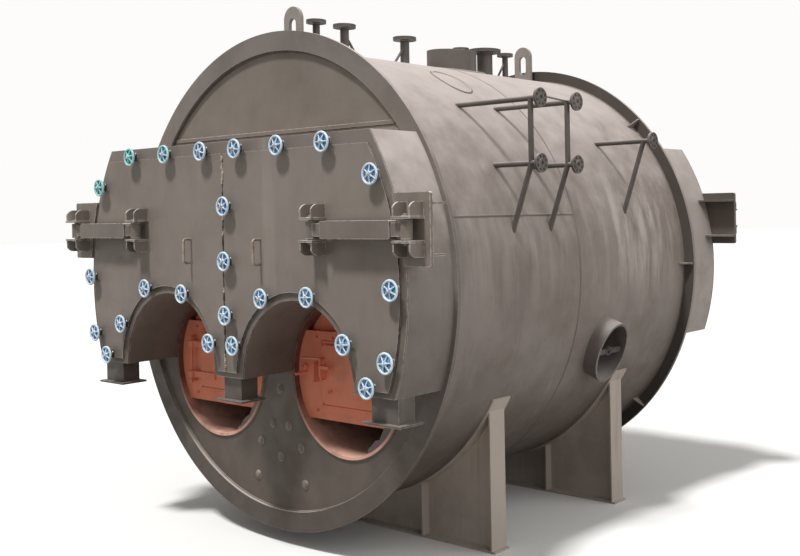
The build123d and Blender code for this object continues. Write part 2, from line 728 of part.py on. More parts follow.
def gauge_pipe(y, top_z, mid_z, end_z):
    """Branch pipes out of the shell to a flange each, joined by an upright and a slanting leg."""
    x_pipe = SHELL_R + GAUGE_PIPE_STEP
    x_face = SHELL_R + GAUGE_FACE_STEP
    body = bar((SHELL_R / 2, y, top_z), (x_face, y, top_z), GAUGE_R)
    body += bar((x_face - GAUGE_FLANGE_T, y, top_z), (x_face, y, top_z), GAUGE_FLANGE_R)
    low = top_z
    if mid_z:
        body += bar((SHELL_R / 2, y, mid_z), (x_face, y, mid_z), GAUGE_R)
        body += bar((x_face - GAUGE_FLANGE_T, y, mid_z), (x_face, y, mid_z), GAUGE_FLANGE_R)
        body += bar((x_pipe, y, mid_z), (x_pipe, y, top_z), GAUGE_R)
        low = mid_z
    end_x = math.sqrt(SHELL_R ** 2 - end_z ** 2)
    body += bar((x_pipe, y, low), (end_x - GAUGE_R, y, end_z - GAUGE_R), GAUGE_R)
    return body - slab(Circle(SHELL_R), 0, LENGTH)


def build():
    """Every node of the boiler by name, about the boiler axis."""
    parts = {}
    parts["shell"] = shell()
    parts["front_ring"] = end_ring(RING_R, 0, 0)
    parts["rear_ring"] = end_ring(REAR_RING_R, LENGTH - RING_T, REAR_RIBS)
    parts["front_end_plate"] = front_plate()
    parts["rear_end_plate"] = rear_plate()
    parts["furnace_right"], parts["furnace_left"] = both_sides(furnace_tube)
    parts["fire_front_right"], parts["fire_front_left"] = both_sides(fire_front)
    parts["fire_door_right"], parts["fire_door_left"] = both_sides(fire_door)
    parts["front_smokebox"] = smokebox(BOX_DEPTH, True)
    parts["front_door_frame"] = door_frame(BOX_DEPTH, True)
    for name, right in (("right", True), ("left", False)):
        parts["front_door_" + name] = door(BOX_DEPTH, True, right)
        parts["front_door_lining_" + name] = door_lining(BOX_DEPTH, True, right)
        parts["front_door_clamps_" + name] = clamps(BOX_DEPTH, True, right)
        parts["front_door_grip_" + name] = grip(BOX_DEPTH, right)
    parts["hinge_bracket_right"], parts["hinge_bracket_left"] = both_sides(hinge_bracket, BOX_DEPTH)
    parts["hinge_arm_right"], parts["hinge_arm_left"] = both_sides(hinge_arm, BOX_DEPTH)
    parts["door_yoke_right"], parts["door_yoke_left"] = both_sides(door_yoke, BOX_DEPTH)
    parts["front_smokebox_feet"] = feet(BOX_DEPTH)
    rear = {
        "rear_smokebox": [smokebox(REAR_BOX_DEPTH, False)],
        "rear_door_frame": [door_frame(REAR_BOX_DEPTH, False)],
        "rear_door_right": [door(REAR_BOX_DEPTH, False, True)],
        "rear_door_left": [door(REAR_BOX_DEPTH, False, False)],
        "rear_door_clamps": [clamps(REAR_BOX_DEPTH, False, right) for right in (True, False)],
        "rear_door_grips": [grip(REAR_BOX_DEPTH, right) for right in (True, False)],
        "rear_hinge_brackets": both_sides(hinge_bracket, REAR_BOX_DEPTH),
        "rear_hinge_arms": both_sides(hinge_arm, REAR_BOX_DEPTH),
        "rear_door_yokes": both_sides(door_yoke, REAR_BOX_DEPTH),
    }
    for name, pieces in rear.items():
        parts[name] = to_rear(Compound(children=[s for piece in pieces for s in piece.solids()]))
    parts["front_saddle"] = saddle(SADDLE_Y[0])
    parts["rear_saddle"] = saddle(SADDLE_Y[1])
    parts["top_manhole_collar"] = top_manhole_collar()
    parts["side_manhole_collar"] = side_manhole_collar()
    parts["top_manhole_cover"] = Pos(0, TOP_MAN_Y, 0) * manhole_cover(SHELL_R + TOP_MAN_RISE)
    parts["side_manhole_cover"] = side_manhole_plane(0) * manhole_cover(SHELL_R + SIDE_MAN_RISE)
    parts["front_lifting_lug"] = lug(LUG_Y[0])
    parts["rear_lifting_lug"] = lug(LUG_Y[1])
    parts["small_nozzles"] = Compound(children=[nozzle(spec) for spec in SMALL_NOZZLES])
    parts["valve_nozzle"] = nozzle(VALVE_NOZZLE)
    parts["steam_nozzle"] = nozzle(STEAM_NOZZLE)
    parts["gauge_pipe_front"] = gauge_pipe(GAUGE_Y[0], GAUGE_TOP_Z, GAUGE_MID_Z, GAUGE_END_Z)
    parts["gauge_pipe_middle"] = gauge_pipe(GAUGE_Y[1], GAUGE_TOP_Z, GAUGE_MID_Z, GAUGE_END_Z)
    parts["gauge_pipe_rear"] = gauge_pipe(REAR_GAUGE_Y, REAR_GAUGE_Z, 0, REAR_GAUGE_END_Z)
    return parts


os.makedirs("parts", exist_ok=True)
total = 0.0
for name, piece in build().items():
    placed = piece.moved(HOME)
    total += placed.volume
    solids = len(placed.solids())
    box = placed.bounding_box()
    print(name, "solids", solids, "kg", round(placed.volume * 7.85e-6, 1), "box", box.min, box.max)
    export_step(placed, f"parts/{name}.step")
print("total kg", round(total * 7.85e-6))
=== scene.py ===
import math

import bmesh
import bpy
import numpy as np
from bpy.props import FloatProperty, FloatVectorProperty, IntProperty, PointerProperty
from mathutils import Matrix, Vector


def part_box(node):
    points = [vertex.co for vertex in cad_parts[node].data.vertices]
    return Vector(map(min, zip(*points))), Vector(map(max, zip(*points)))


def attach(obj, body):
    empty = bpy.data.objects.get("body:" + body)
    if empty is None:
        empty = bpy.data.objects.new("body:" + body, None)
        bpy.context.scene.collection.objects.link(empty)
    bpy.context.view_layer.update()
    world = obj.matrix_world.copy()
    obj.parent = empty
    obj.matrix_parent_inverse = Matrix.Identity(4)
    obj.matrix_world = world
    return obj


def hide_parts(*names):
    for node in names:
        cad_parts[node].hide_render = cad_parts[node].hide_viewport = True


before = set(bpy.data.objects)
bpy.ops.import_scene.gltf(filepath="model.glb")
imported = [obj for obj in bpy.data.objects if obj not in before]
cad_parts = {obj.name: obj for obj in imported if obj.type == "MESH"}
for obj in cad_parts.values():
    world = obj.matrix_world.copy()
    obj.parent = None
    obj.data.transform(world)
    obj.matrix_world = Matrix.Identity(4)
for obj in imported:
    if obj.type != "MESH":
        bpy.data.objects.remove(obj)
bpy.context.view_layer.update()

bl_info = {
    "name": "Fire-tube boiler",
    "version": (1, 0, 0),
    "blender": (4, 5, 0),
    "location": "View3D > Sidebar > Boiler",
    "description": "Dresses the boiler's plates in primer and adds its wheels, welds and fittings",
    "category": "Object",
}

# sizes taken from the frame, and the thickness of two plates, in metres
RING_LO, RING_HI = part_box("front_ring")
SHELL_LO, SHELL_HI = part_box("shell")
FURNACE_LO, FURNACE_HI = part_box("furnace_right")
SHELL_R = (SHELL_HI.x - SHELL_LO.x) / 2
SHELL_T = 0.020
AXIS_Z = (RING_LO.z + RING_HI.z) / 2
FRONT_Y = RING_LO.y
RING_T = RING_HI.y - RING_LO.y
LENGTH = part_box("rear_ring")[1].y - FRONT_Y
DOOR_FACE_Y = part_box("front_door_right")[0].y
REAR_DOOR_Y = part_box("rear_door_right")[1].y
FURNACE_X = (FURNACE_LO.x + FURNACE_HI.x) / 2
FURNACE_Z = (FURNACE_LO.z + FURNACE_HI.z) / 2 - AXIS_Z
FURNACE_OUT_R = (FURNACE_HI.x - FURNACE_LO.x) / 2
FURNACE_T = 0.018
FURNACE_R = FURNACE_OUT_R - FURNACE_T

# camera of the photograph: the lens in pixels of an 800 pixel wide frame, its place and its turn
FRAME_WIDTH = 800
FRAME_HEIGHT = 556
CAMERA_FOCUS = 1041.4
CAMERA_PLACE = (5.5249, -4.9213, 2.1218)
CAMERA_AZIMUTH = 37.212
CAMERA_DOWN = 0.024
CAMERA_ROLL = -1.035
CAMERA_CENTRE = (560, 210)


def at(x, y, z):
    """A place given from the boiler axis and the front ring face, as a place in the frame."""
    return np.array([x, FRONT_Y + y, AXIS_Z + z])


def srgb(red, green, blue):
    """A colour as seen on a screen, 0 to 255, as the linear value that a shader takes."""
    values = np.array([red, green, blue]) / 255
    linear = np.where(values <= 0.04045, values / 12.92, ((values + 0.055) / 1.055) ** 2.4)
    return tuple(float(v) for v in linear) + (1.0,)


# Surfaces: a form is its points and a list of face arrays

# faces that meet at more than these angles look sharp and get a rounded edge; points this near become one
SHARP_DEG = 35.0
BEVEL_DEG = 50
MERGE = 1e-6
BEAD_ROWS = 5

# how far a trim's back stays off the face that it lies on
CLEAR = 0.0003


def xyz(x, y, z):
    """Points from three lists of coordinates; a single number holds for every point."""
    return np.stack(np.broadcast_arrays(x, y, z), -1)


def unit(vectors):
    """Each of the vectors at a length of one."""
    return vectors / np.linalg.norm(vectors, axis=1, keepdims=True)


def grid(points, wrap_u=False, wrap_v=False):
    """Form of a grid of points p(u, v): each cell joins p(i, j), p(i+1, j), p(i+1, j+1) and p(i, j+1)."""
    nu, nv = points.shape[:2]
    rows = np.arange(nu if wrap_u else nu - 1)
    columns = np.arange(nv if wrap_v else nv - 1)
    i, j = np.meshgrid(rows, columns, indexing="ij")
    i2 = (i + 1) % nu
    j2 = (j + 1) % nv
    quads = np.stack([i * nv + j, i2 * nv + j, i2 * nv + j2, i * nv + j2], -1).reshape(-1, 4)
    return points.reshape(-1, 3), [quads]


def fan(first, count, pole, flip):
    """Triangles from a pole point to a ring of count points that starts at index first."""
    ring = first + np.arange(count)
    after = first + (np.arange(count) + 1) % count
    tip = np.full(count, pole)
    return np.stack([tip, ring, after] if flip else [tip, after, ring], -1)


def closed_rings(rings, start, end):
    """Form of rings (n, m, 3), wrapped round and closed by a fan to a start point and an end point."""
    points, faces = grid(rings, wrap_v=True)
    n, m = rings.shape[:2]
    points = np.vstack([points, start, end])
    return points, faces + [fan(0, m, n * m, False), fan((n - 1) * m, m, n * m + 1, True)]


def turned(profile, sides):
    """Rings of a turned form: (r cos a, r sin a, h) for each (r, h) of the profile and each angle a."""
    r, h = np.asarray(profile, float).T[:, :, None]
    a = np.linspace(0, 2 * np.pi, sides, endpoint=False)
    return xyz(r * np.cos(a), r * np.sin(a), h)


def lathe(profile, sides):
    """Turned form: (r cos a, r sin a, h) for each (r, h) of the profile, closed on the axis at both ends."""
    rings = turned(profile, sides)
    return closed_rings(rings, (0, 0, rings[0, 0, 2]), (0, 0, rings[-1, 0, 2]))


def ring_lathe(profile, sides):
    """Turned ring: (r cos a, r sin a, h) for each (r, h) of a closed profile."""
    return grid(turned(profile, sides), wrap_u=True, wrap_v=True)


def torus(major, minor, sides, around):
    """Ring of radius major, thickness minor: ((R + r cos b) cos a, (R + r cos b) sin a, r sin b)."""
    b = np.linspace(0, 2 * np.pi, around, endpoint=False)
    return ring_lathe(np.stack([major + minor * np.cos(b), minor * np.sin(b)], -1), sides)


def tube(path, radius, sides):
    """Bar along a path: path(s) + radius (n cos a + b sin a), with n and b square to the path."""
    path = np.asarray(path, float)
    along = unit(np.gradient(path, axis=0))
    rest = np.eye(3)[np.argmin(np.abs(along).max(0))]
    n = unit(np.cross(along, rest))
    b = np.cross(along, n)
    a = np.linspace(0, 2 * np.pi, sides, endpoint=False)
    size = np.broadcast_to(np.asarray(radius, float), len(path))[:, None, None]
    rings = path[:, None] + size * (n[:, None] * np.cos(a)[:, None] + b[:, None] * np.sin(a)[:, None])
    return closed_rings(rings, path[0], path[-1])


def block(x0, x1, y0, y1, z0, z1):
    """Square block between two corners, each corner point of it one choice of the x, y and z pairs."""
    points = np.array([(x, y, z) for x in (x0, x1) for y in (y0, y1) for z in (z0, z1)], float)
    quads = np.array([(0, 1, 3, 2), (4, 6, 7, 5), (0, 4, 5, 1), (2, 3, 7, 6), (0, 2, 6, 4), (1, 5, 7, 3)])
    return points, [quads]


def plate(outline, low, high):
    """Flat piece: the outline (n, 2) at a low and a high level, each closed by a fan to its middle."""
    outline = np.asarray(outline, float)
    rings = np.stack([np.column_stack([outline, np.full(len(outline), h)]) for h in (low, high)])
    middle = outline.mean(0)
    return closed_rings(rings, (*middle, low), (*middle, high))


def hexagon(across):
    """Outline of a hexagon nut of a width across flats."""
    a = np.radians(np.arange(0, 360, 60))
    return np.stack([np.cos(a), np.sin(a)], -1) * across / math.sqrt(3)


def bead(path, outward, width, height):
    """Weld bead: path(s) + width/2 sin t across it + height cos t outwards, t from -90 to 90 degrees."""
    path = np.asarray(path, float)
    across = unit(np.cross(unit(np.gradient(path, axis=0)), outward))
    t = np.linspace(-np.pi / 2, np.pi / 2, BEAD_ROWS)[:, None]
    points = path[:, None] + width / 2 * np.sin(t) * across[:, None] + height * np.cos(t) * outward[:, None]
    return grid(points)


def fillet(path, one, other, width, height):
    """Bead in the corner of two faces: as a bead whose outward way lies midway between the faces' ways."""
    return bead(path, (one + np.array(other)) / math.sqrt(2), width, height)


def raised(profile, level):
    """A profile of (r, h) points, each h more by a level."""
    return [(r, level + h) for r, h in profile]


def moved(form, offset, turn=None):
    """The form turned by a matrix whose columns are its new axes, then moved."""
    points, faces = form
    if turn is not None:
        points = points @ np.asarray(turn, float).T
    return points + np.asarray(offset, float), faces


def copies(form, offsets, turns):
    """The form repeated at each offset, turned by one matrix for all or by the matrix of that place."""
    points, faces = form
    offsets = np.asarray(offsets, float)
    turns = np.asarray(turns, float)
    count = len(offsets)
    if turns.ndim == 2:
        turns = np.repeat(turns[None], count, 0)
    spread = np.einsum("kij,nj->kni", turns, points) + offsets[:, None]
    step = (np.arange(count) * len(points))[:, None, None]
    return spread.reshape(-1, 3), [(part[None] + step).reshape(-1, part.shape[1]) for part in faces]


def joined(*forms):
    """Several forms as one."""
    start = 0
    points, faces = [], []
    for form_points, form_faces in forms:
        points.append(form_points)
        faces += [part + start for part in form_faces]
        start += len(form_points)
    return np.vstack(points), faces


def facing(direction, up=(0, 0, 1)):
    """Matrix that turns a form's +Z to a direction and its +Y as near as can be to up."""
    z = np.asarray(direction, float)
    z = z / np.linalg.norm(z)
    x = np.cross(up, z)
    x = x / np.linalg.norm(x)
    return np.stack([x, np.cross(z, x), z], -1)


def roll(a):
    """Matrix that turns a form by an angle about its own Z axis."""
    return np.array([[math.cos(a), -math.sin(a), 0], [math.sin(a), math.cos(a), 0], [0, 0, 1]])


FORWARD = facing((0, -1, 0))
BACKWARD = facing((0, 1, 0))
RIGHTWARD = facing((1, 0, 0))


def add_piece(name, layers, body, replaces=(), bevel=0.0):
    """Puts forms, each with its material, into one mesh that rides on a body."""
    points = np.vstack([form[0] for form, _ in layers])
    corners, starts, slots = [], [], []
    base = 0
    corner = 0
    for index, (form, _) in enumerate(layers):
        for faces in form[1]:
            corners.append((faces + base).ravel())
            starts.append(corner + np.arange(len(faces)) * faces.shape[1])
            slots.append(np.full(len(faces), index))
            corner += faces.size
        base += len(form[0])
    corners, starts, slots = (np.concatenate(part) for part in (corners, starts, slots))
    mesh = bpy.data.meshes.new(name)
    mesh.vertices.add(len(points))
    mesh.vertices.foreach_set("co", points.ravel())
    mesh.loops.add(len(corners))
    mesh.loops.foreach_set("vertex_index", corners)
    mesh.polygons.add(len(starts))
    mesh.polygons.foreach_set("loop_start", starts)
    mesh.polygons.foreach_set("material_index", slots)
    mesh.update(calc_edges=True)
    mesh.validate()
    for _, material in layers:
        mesh.materials.append(material)
    work = bmesh.new()
    work.from_mesh(mesh)
    bmesh.ops.remove_doubles(work, verts=work.verts, dist=MERGE)
    bmesh.ops.recalc_face_normals(work, faces=work.faces)
    work.to_mesh(mesh)
    work.free()
    mesh.polygons.foreach_set("use_smooth", np.ones(len(mesh.polygons), bool))
    mesh.set_sharp_from_angle(angle=math.radians(SHARP_DEG))
    item = bpy.data.objects.new(name, mesh)
    bpy.context.scene.collection.objects.link(item)
    if bevel:
        edge = item.modifiers.new("edges", "BEVEL")
        edge.width = bevel
        edge.segments = 2
        edge.limit_method = "ANGLE"
        edge.angle_limit = math.radians(BEVEL_DEG)
    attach(item, body)
    if replaces:
        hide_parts(*replaces)
    return item


# Node groups: effects that more than one finish uses

# painted shade low down starts at the first of these heights and is full at the second
LOW_SHADE_TOP = AXIS_Z - 0.1
LOW_SHADE_FLOOR = AXIS_Z - 1.9


def feed(tree, socket, value):
    """Links an input to a socket, or sets it where the value is a constant."""
    if isinstance(value, bpy.types.NodeSocket):
        tree.links.new(value, socket)
    else:
        socket.default_value = value


def node(tree, kind, inputs=None, **settings):
    """Adds a node; inputs are values, or sockets to link."""
    made = tree.nodes.new(kind)
    for key, value in settings.items():
        setattr(made, key, value)
    for key, value in (inputs or {}).items():
        feed(tree, made.inputs[key], value)
    return made


def maths(tree, operation, *values):
    """One operation on numbers or sockets."""
    return node(tree, "ShaderNodeMath", dict(enumerate(values)), operation=operation).outputs[0]


def vector_maths(tree, operation, one, other, output):
    """One operation on two vectors."""
    return node(tree, "ShaderNodeVectorMath", {0: one, 1: other}, operation=operation).outputs[output]


def place_of(tree):
    """Place of the point in the object's own coordinates."""
    return node(tree, "ShaderNodeTexCoord").outputs["Object"]


def normal_of(tree):
    """Way that the point's face looks."""
    return node(tree, "ShaderNodeNewGeometry").outputs["Normal"]


def axes_of(tree, vector):
    """The three numbers of a vector, as sockets named X, Y and Z."""
    return node(tree, "ShaderNodeSeparateXYZ", {0: vector}).outputs


def noise(tree, **inputs):
    """Noise on the vector that is given, or else on the place."""
    if "Vector" not in inputs:
        inputs["Vector"] = place_of(tree)
    return node(tree, "ShaderNodeTexNoise", inputs).outputs["Fac"]


def threshold(tree, value, low, high):
    """Value as 0 at low and 1 at high, smooth between them."""
    inputs = {"Value": value, "From Min": low, "From Max": high}
    return node(tree, "ShaderNodeMapRange", inputs, interpolation_type="SMOOTHSTEP").outputs["Result"]


def uneven(tree, value, spread, **inputs):
    """A value with noise added to it, which spreads it both ways."""
    shift = maths(tree, "SUBTRACT", noise(tree, **inputs), 0.5)
    return maths(tree, "MULTIPLY_ADD", shift, spread, value)


def group_tree(name, output="Mask", kind="NodeSocketFloat", **inputs):
    """A new group with number inputs and one output, and the sockets of its two end nodes."""
    tree = bpy.data.node_groups.new(name, "ShaderNodeTree")
    for label, value in inputs.items():
        socket = tree.interface.new_socket(label, in_out="INPUT", socket_type="NodeSocketFloat")
        socket.default_value = value
    tree.interface.new_socket(output, in_out="OUTPUT", socket_type=kind)
    return tree, tree.nodes.new("NodeGroupInput").outputs, tree.nodes.new("NodeGroupOutput").inputs


def patches_group():
    """Soft patches: noise on object coordinates, cut between two levels."""
    tree, given, result = group_tree("soft patches", Scale=2.0, Low=0.4, High=0.7)
    cloud = noise(tree, Scale=given["Scale"], Detail=5.0, Roughness=0.6)
    tree.links.new(threshold(tree, cloud, given["Low"], given["High"]), result[0])
    return tree


def runs_group():
    """Upright runs: noise drawn out along Z, so that stains run down the plates."""
    tree, given, result = group_tree("upright runs", Scale=8.0, Stretch=0.08, Low=0.55, High=0.75)
    ratio = node(tree, "ShaderNodeCombineXYZ", {"X": 1.0, "Y": 1.0, "Z": given["Stretch"]}).outputs[0]
    drawn = vector_maths(tree, "MULTIPLY", place_of(tree), ratio, "Vector")
    streaks = noise(tree, Vector=drawn, Scale=given["Scale"], Detail=6.0, Roughness=0.65)
    tree.links.new(threshold(tree, streaks, given["Low"], given["High"]), result[0])
    return tree


def edges_group():
    """Worn edges: where the rounded normal leaves the flat one, broken up by noise."""
    tree, given, result = group_tree("worn edges", Width=0.004)
    soft = node(tree, "ShaderNodeBevel", {"Radius": given["Width"]}, samples=4).outputs["Normal"]
    same = vector_maths(tree, "DOT_PRODUCT", normal_of(tree), soft, "Value")
    edge = threshold(tree, maths(tree, "SUBTRACT", 1.0, same), 0.01, 0.12)
    broken = threshold(tree, noise(tree, Scale=30.0, Detail=3.0), 0.3, 0.6)
    tree.links.new(maths(tree, "MULTIPLY", edge, broken), result[0])
    return tree


def dust_group():
    """Settled dust: more on what faces up, with a patchy edge."""
    tree, given, result = group_tree("settled dust", From=0.2, To=1.0)
    upward = uneven(tree, axes_of(tree, normal_of(tree))["Z"], 0.8, Scale=6.0, Detail=6.0)
    tree.links.new(threshold(tree, upward, given["From"], given["To"]), result[0])
    return tree


def soil_group():
    """Soil that gathers low down, from one height to another, with a patchy edge."""
    tree, given, result = group_tree("low soil", Top=LOW_SHADE_TOP, Floor=LOW_SHADE_FLOOR)
    height = uneven(tree, axes_of(tree, place_of(tree))["Z"], 0.9, Scale=2.2, Detail=5.0)
    tree.links.new(threshold(tree, height, given["Top"], given["Floor"]), result[0])
    return tree


def facing_group():
    """Faces that look along a way or against it: the normal's share of that way, cut between two levels."""
    tree, given, result = group_tree("facing", X=0.0, Y=1.0, Z=0.0, Low=0.6, High=0.95)
    way = node(tree, "ShaderNodeCombineXYZ", {key: given[key] for key in "XYZ"}).outputs[0]
    share = maths(tree, "ABSOLUTE", vector_maths(tree, "DOT_PRODUCT", normal_of(tree), way, "Value"))
    tree.links.new(threshold(tree, share, given["Low"], given["High"]), result[0])
    return tree


def belt_group():
    """Washed belt on the rear course: a range along the boiler times a range of height, drawn out in runs."""
    ends = {"Start": 0.75, "End": 1.85, "Top": AXIS_Z + 0.85, "Foot": AXIS_Z - 0.35}
    tree, given, result = group_tree("pale belt", **ends)
    place = axes_of(tree, place_of(tree))
    inputs = {"Value": place["Y"], "From Min": given["Start"], "From Max": given["End"]}
    way = node(tree, "ShaderNodeMapRange", inputs).outputs["Result"]
    middle = maths(tree, "ABSOLUTE", maths(tree, "SUBTRACT", way, 0.5))
    mask = threshold(tree, middle, 0.75, 0.15)
    below = threshold(tree, place["Z"], given["Foot"], AXIS_Z + 0.1)
    above = threshold(tree, place["Z"], given["Top"], AXIS_Z + 0.4)
    for part in (below, above, effect(tree, "runs", Scale=9.0, Stretch=0.12, Low=0.40, High=0.66)):
        mask = maths(tree, "MULTIPLY", mask, part)
    tree.links.new(mask, result[0])
    return tree


def skin_group():
    """Bumped skin: fine noise over a slower one, turned into a normal."""
    levels = {"Fine": 400.0, "Coarse": 12.0, "Depth": 0.0006, "Strength": 0.4}
    tree, given, result = group_tree("primer skin", "Normal", "NodeSocketVector", **levels)
    fine = noise(tree, Scale=given["Fine"], Detail=2.0)
    slow = noise(tree, Scale=given["Coarse"], Detail=4.0)
    height = maths(tree, "MULTIPLY_ADD", slow, 2.5, fine)
    inputs = {"Height": height, "Distance": given["Depth"], "Strength": given["Strength"]}
    tree.links.new(node(tree, "ShaderNodeBump", inputs).outputs["Normal"], result[0])
    return tree


# the belt uses the runs, so the runs come before it
GROUP_MAKERS = {
    "patches": patches_group, "runs": runs_group, "edges": edges_group, "dust": dust_group,
    "soil": soil_group, "facing": facing_group, "belt": belt_group, "skin": skin_group,
}
GROUPS = {}


def effect(tree, name, **inputs):
    """Places a shared effect in a finish and gives its output."""
    made = node(tree, "ShaderNodeGroup")
    made.node_tree = GROUPS[name]
    for key, value in inputs.items():
        made.inputs[key].default_value = value
    return made.outputs[0]


def blend(tree, mask, first, second):
    """Colour from first to second by a mask."""
    return node(tree, "ShaderNodeMix", {0: mask, 6: first, 7: second}, data_type="RGBA").outputs[2]


def coat(tree, tone, colour, amount, name, **inputs):
    """The tone, covered with a colour where a shared effect shows, as strongly as amount says."""
    return blend(tree, maths(tree, "MULTIPLY", effect(tree, name, **inputs), amount), tone, colour)


def patchy(tree, scale, low, high):
    """A roughness that goes from low to high in patches."""
    inputs = {"Value": effect(tree, "patches", Scale=scale, Low=0.3, High=0.7), "To Min": low, "To Max": high}
    return node(tree, "ShaderNodeMapRange", inputs).outputs["Result"]


def new_finish(name):
    """An empty node material with its shader."""
    material = bpy.data.materials.new(name)
    material.use_nodes = True
    tree = material.node_tree
    return material, tree, tree.nodes["Principled BSDF"]


def dress(tree, shader, tone, rough, **skin):
    """Gives a shader its tone, its roughness and a bumped skin."""
    tree.links.new(tone, shader.inputs["Base Color"])
    feed(tree, shader.inputs["Roughness"], rough)
    tree.links.new(effect(tree, "skin", **skin), shader.inputs["Normal"])


# how strongly each effect shows on a primer, where a finish doesn't say otherwise
PRIMER_LEVELS = {
    "size": 1.6, "runs": 0.5, "stretch": 0.08, "wash": 0.4, "rust": 0.25, "edge": 0.6, "wear": 0.004,
    "dust": 0.5, "low": 0.2, "high": 1.0, "soil": 0.5, "top": LOW_SHADE_TOP, "floor": LOW_SHADE_FLOOR,
    "shade": 0.0, "shade_low": 0.8, "shade_high": 0.4, "belt": 0.0, "rough": 0.62,
}
STAIN = srgb(134, 118, 120)
RUST = srgb(122, 88, 68)
# the tone of painted shade low down
LOW_SHADE_TONE = srgb(70, 59, 51)
SHADE = srgb(58, 52, 47)


def primer(name, colour, dark, pale, **levels):
    """Primer on plate: patches, runs, soil and shade darken it, rust shows, dust, washes, edges pale it."""
    level = {**PRIMER_LEVELS, **levels}
    size, stretch, rough = level["size"], level["stretch"], level["rough"]
    material, tree, shader = new_finish(name)
    tone = coat(tree, colour, dark, 0.8, "patches", Scale=size, Low=0.38, High=0.66)
    tone = coat(tree, tone, STAIN, 0.35, "patches", Scale=size * 2.3, Low=0.5, High=0.8)
    tone = coat(tree, tone, dark, level["runs"], "runs", Stretch=stretch, Scale=9.0)
    tone = coat(tree, tone, pale, level["wash"], "runs", Stretch=stretch * 0.6, Scale=5.0, Low=0.56, High=0.8)
    tone = coat(tree, tone, RUST, level["rust"], "patches", Scale=26.0, Low=0.62, High=0.72)
    # painted shade low down, then painted shade on faces that look one way
    tone = coat(tree, tone, LOW_SHADE_TONE, level["soil"], "soil", Top=level["top"], Floor=level["floor"])
    if level["shade"]:
        cut = {"Low": level["shade_low"], "High": level["shade_high"]}
        tone = coat(tree, tone, SHADE, level["shade"], "facing", **cut)
    # dust with painted top light: paler on faces that look up
    tone = coat(tree, tone, pale, level["dust"], "dust", From=level["low"], To=level["high"])
    if level["belt"]:
        tone = coat(tree, tone, pale, level["belt"], "belt")
    tone = coat(tree, tone, pale, level["edge"], "edges", Width=level["wear"])
    dress(tree, shader, tone, patchy(tree, 7.0, rough - 0.12, rough + 0.1))
    shader.inputs["Specular IOR Level"].default_value = 0.35
    return material


def enamel(name, colour, other, painted_glint, dark, rough=0.25):
    """Enamel on cast wheels: another tone at the upper left, glints and dirt in patches."""
    material, tree, shader = new_finish(name)
    place = axes_of(tree, place_of(tree))
    corner = maths(tree, "MULTIPLY_ADD", place["X"], -0.5, place["Z"])
    tone = blend(tree, threshold(tree, corner, AXIS_Z + 0.95, AXIS_Z + 1.28), colour, other)
    # painted glints: pale patches that stand in for highlights
    tone = coat(tree, tone, painted_glint, 1.0, "patches", Scale=45.0, Low=0.5, High=0.62)
    tone = coat(tree, tone, dark, 0.6, "patches", Scale=80.0, Low=0.5, High=0.68)
    dress(tree, shader, tone, rough, Fine=900.0, Coarse=60.0, Depth=0.0003)
    return material


def steel(name, colour, rust, rough=0.4):
    """Bare steel with rust in patches and a fine grain."""
    material, tree, shader = new_finish(name)
    tone = coat(tree, colour, rust, 1.0, "patches", Scale=45.0, Low=0.45, High=0.7)
    dress(tree, shader, tone, patchy(tree, 120.0, rough - 0.1, rough + 0.15), Fine=700.0, Coarse=40.0)
    shader.inputs["Metallic"].default_value = 0.3
    return material


def rope(name):
    """Sealing rope and lining: pale fibre, stained in patches, with a coarse bump."""
    material, tree, shader = new_finish(name)
    fibre, stain = srgb(214, 200, 186), srgb(150, 122, 104)
    tone = coat(tree, fibre, stain, 1.0, "patches", Scale=30.0, Low=0.4, High=0.65)
    tone = coat(tree, tone, srgb(120, 98, 84), 1.0, "patches", Scale=6.0, Low=0.5, High=0.75)
    dress(tree, shader, tone, 0.95, Fine=260.0, Coarse=50.0, Depth=0.003, Strength=0.8)
    return material


def furnace_finish(name):
    """Furnace tube: red primer near the mouth that fades to soot inside, pink on the floor of it."""
    material, tree, shader = new_finish(name)
    place = axes_of(tree, place_of(tree))
    middle = AXIS_Z + FURNACE_Z
    # painted light on the tube's floor, pink, and painted shade above it
    low = threshold(tree, place["Z"], middle - 0.1, middle - 0.42)
    # painted shade that deepens further inside the tube
    deep_shade = threshold(tree, place["Y"], FRONT_Y + 0.25, FRONT_Y + 1.1)
    tone = blend(tree, low, srgb(96, 60, 50), srgb(236, 184, 164))
    tone = coat(tree, tone, srgb(132, 84, 70), 0.45, "patches", Scale=9.0, Low=0.45, High=0.7)
    tone = blend(tree, deep_shade, tone, srgb(52, 42, 38))
    tone = coat(tree, tone, srgb(208, 172, 154), 0.7, "edges", Width=0.006)
    dress(tree, shader, tone, 0.7)
    return material


def saddle_finish(name, colour):
    """Saddle plates: a tone of its own on the end plates that face sideways, runs, dust and worn edges."""
    material, tree, shader = new_finish(name)
    tone = coat(tree, colour, srgb(176, 164, 154), 1.0, "patches", Scale=2.4)
    tone = coat(tree, tone, srgb(182, 171, 162), 0.85, "facing", X=1.0, Y=0.0, Low=0.88, High=0.98)
    tone = coat(tree, tone, srgb(104, 90, 80), 0.35, "runs", Scale=12.0)
    tone = coat(tree, tone, srgb(176, 166, 156), 0.6, "dust")
    tone = coat(tree, tone, srgb(190, 180, 168), 0.8, "edges")
    dress(tree, shader, tone, 0.62)
    return material


FINISH = {}


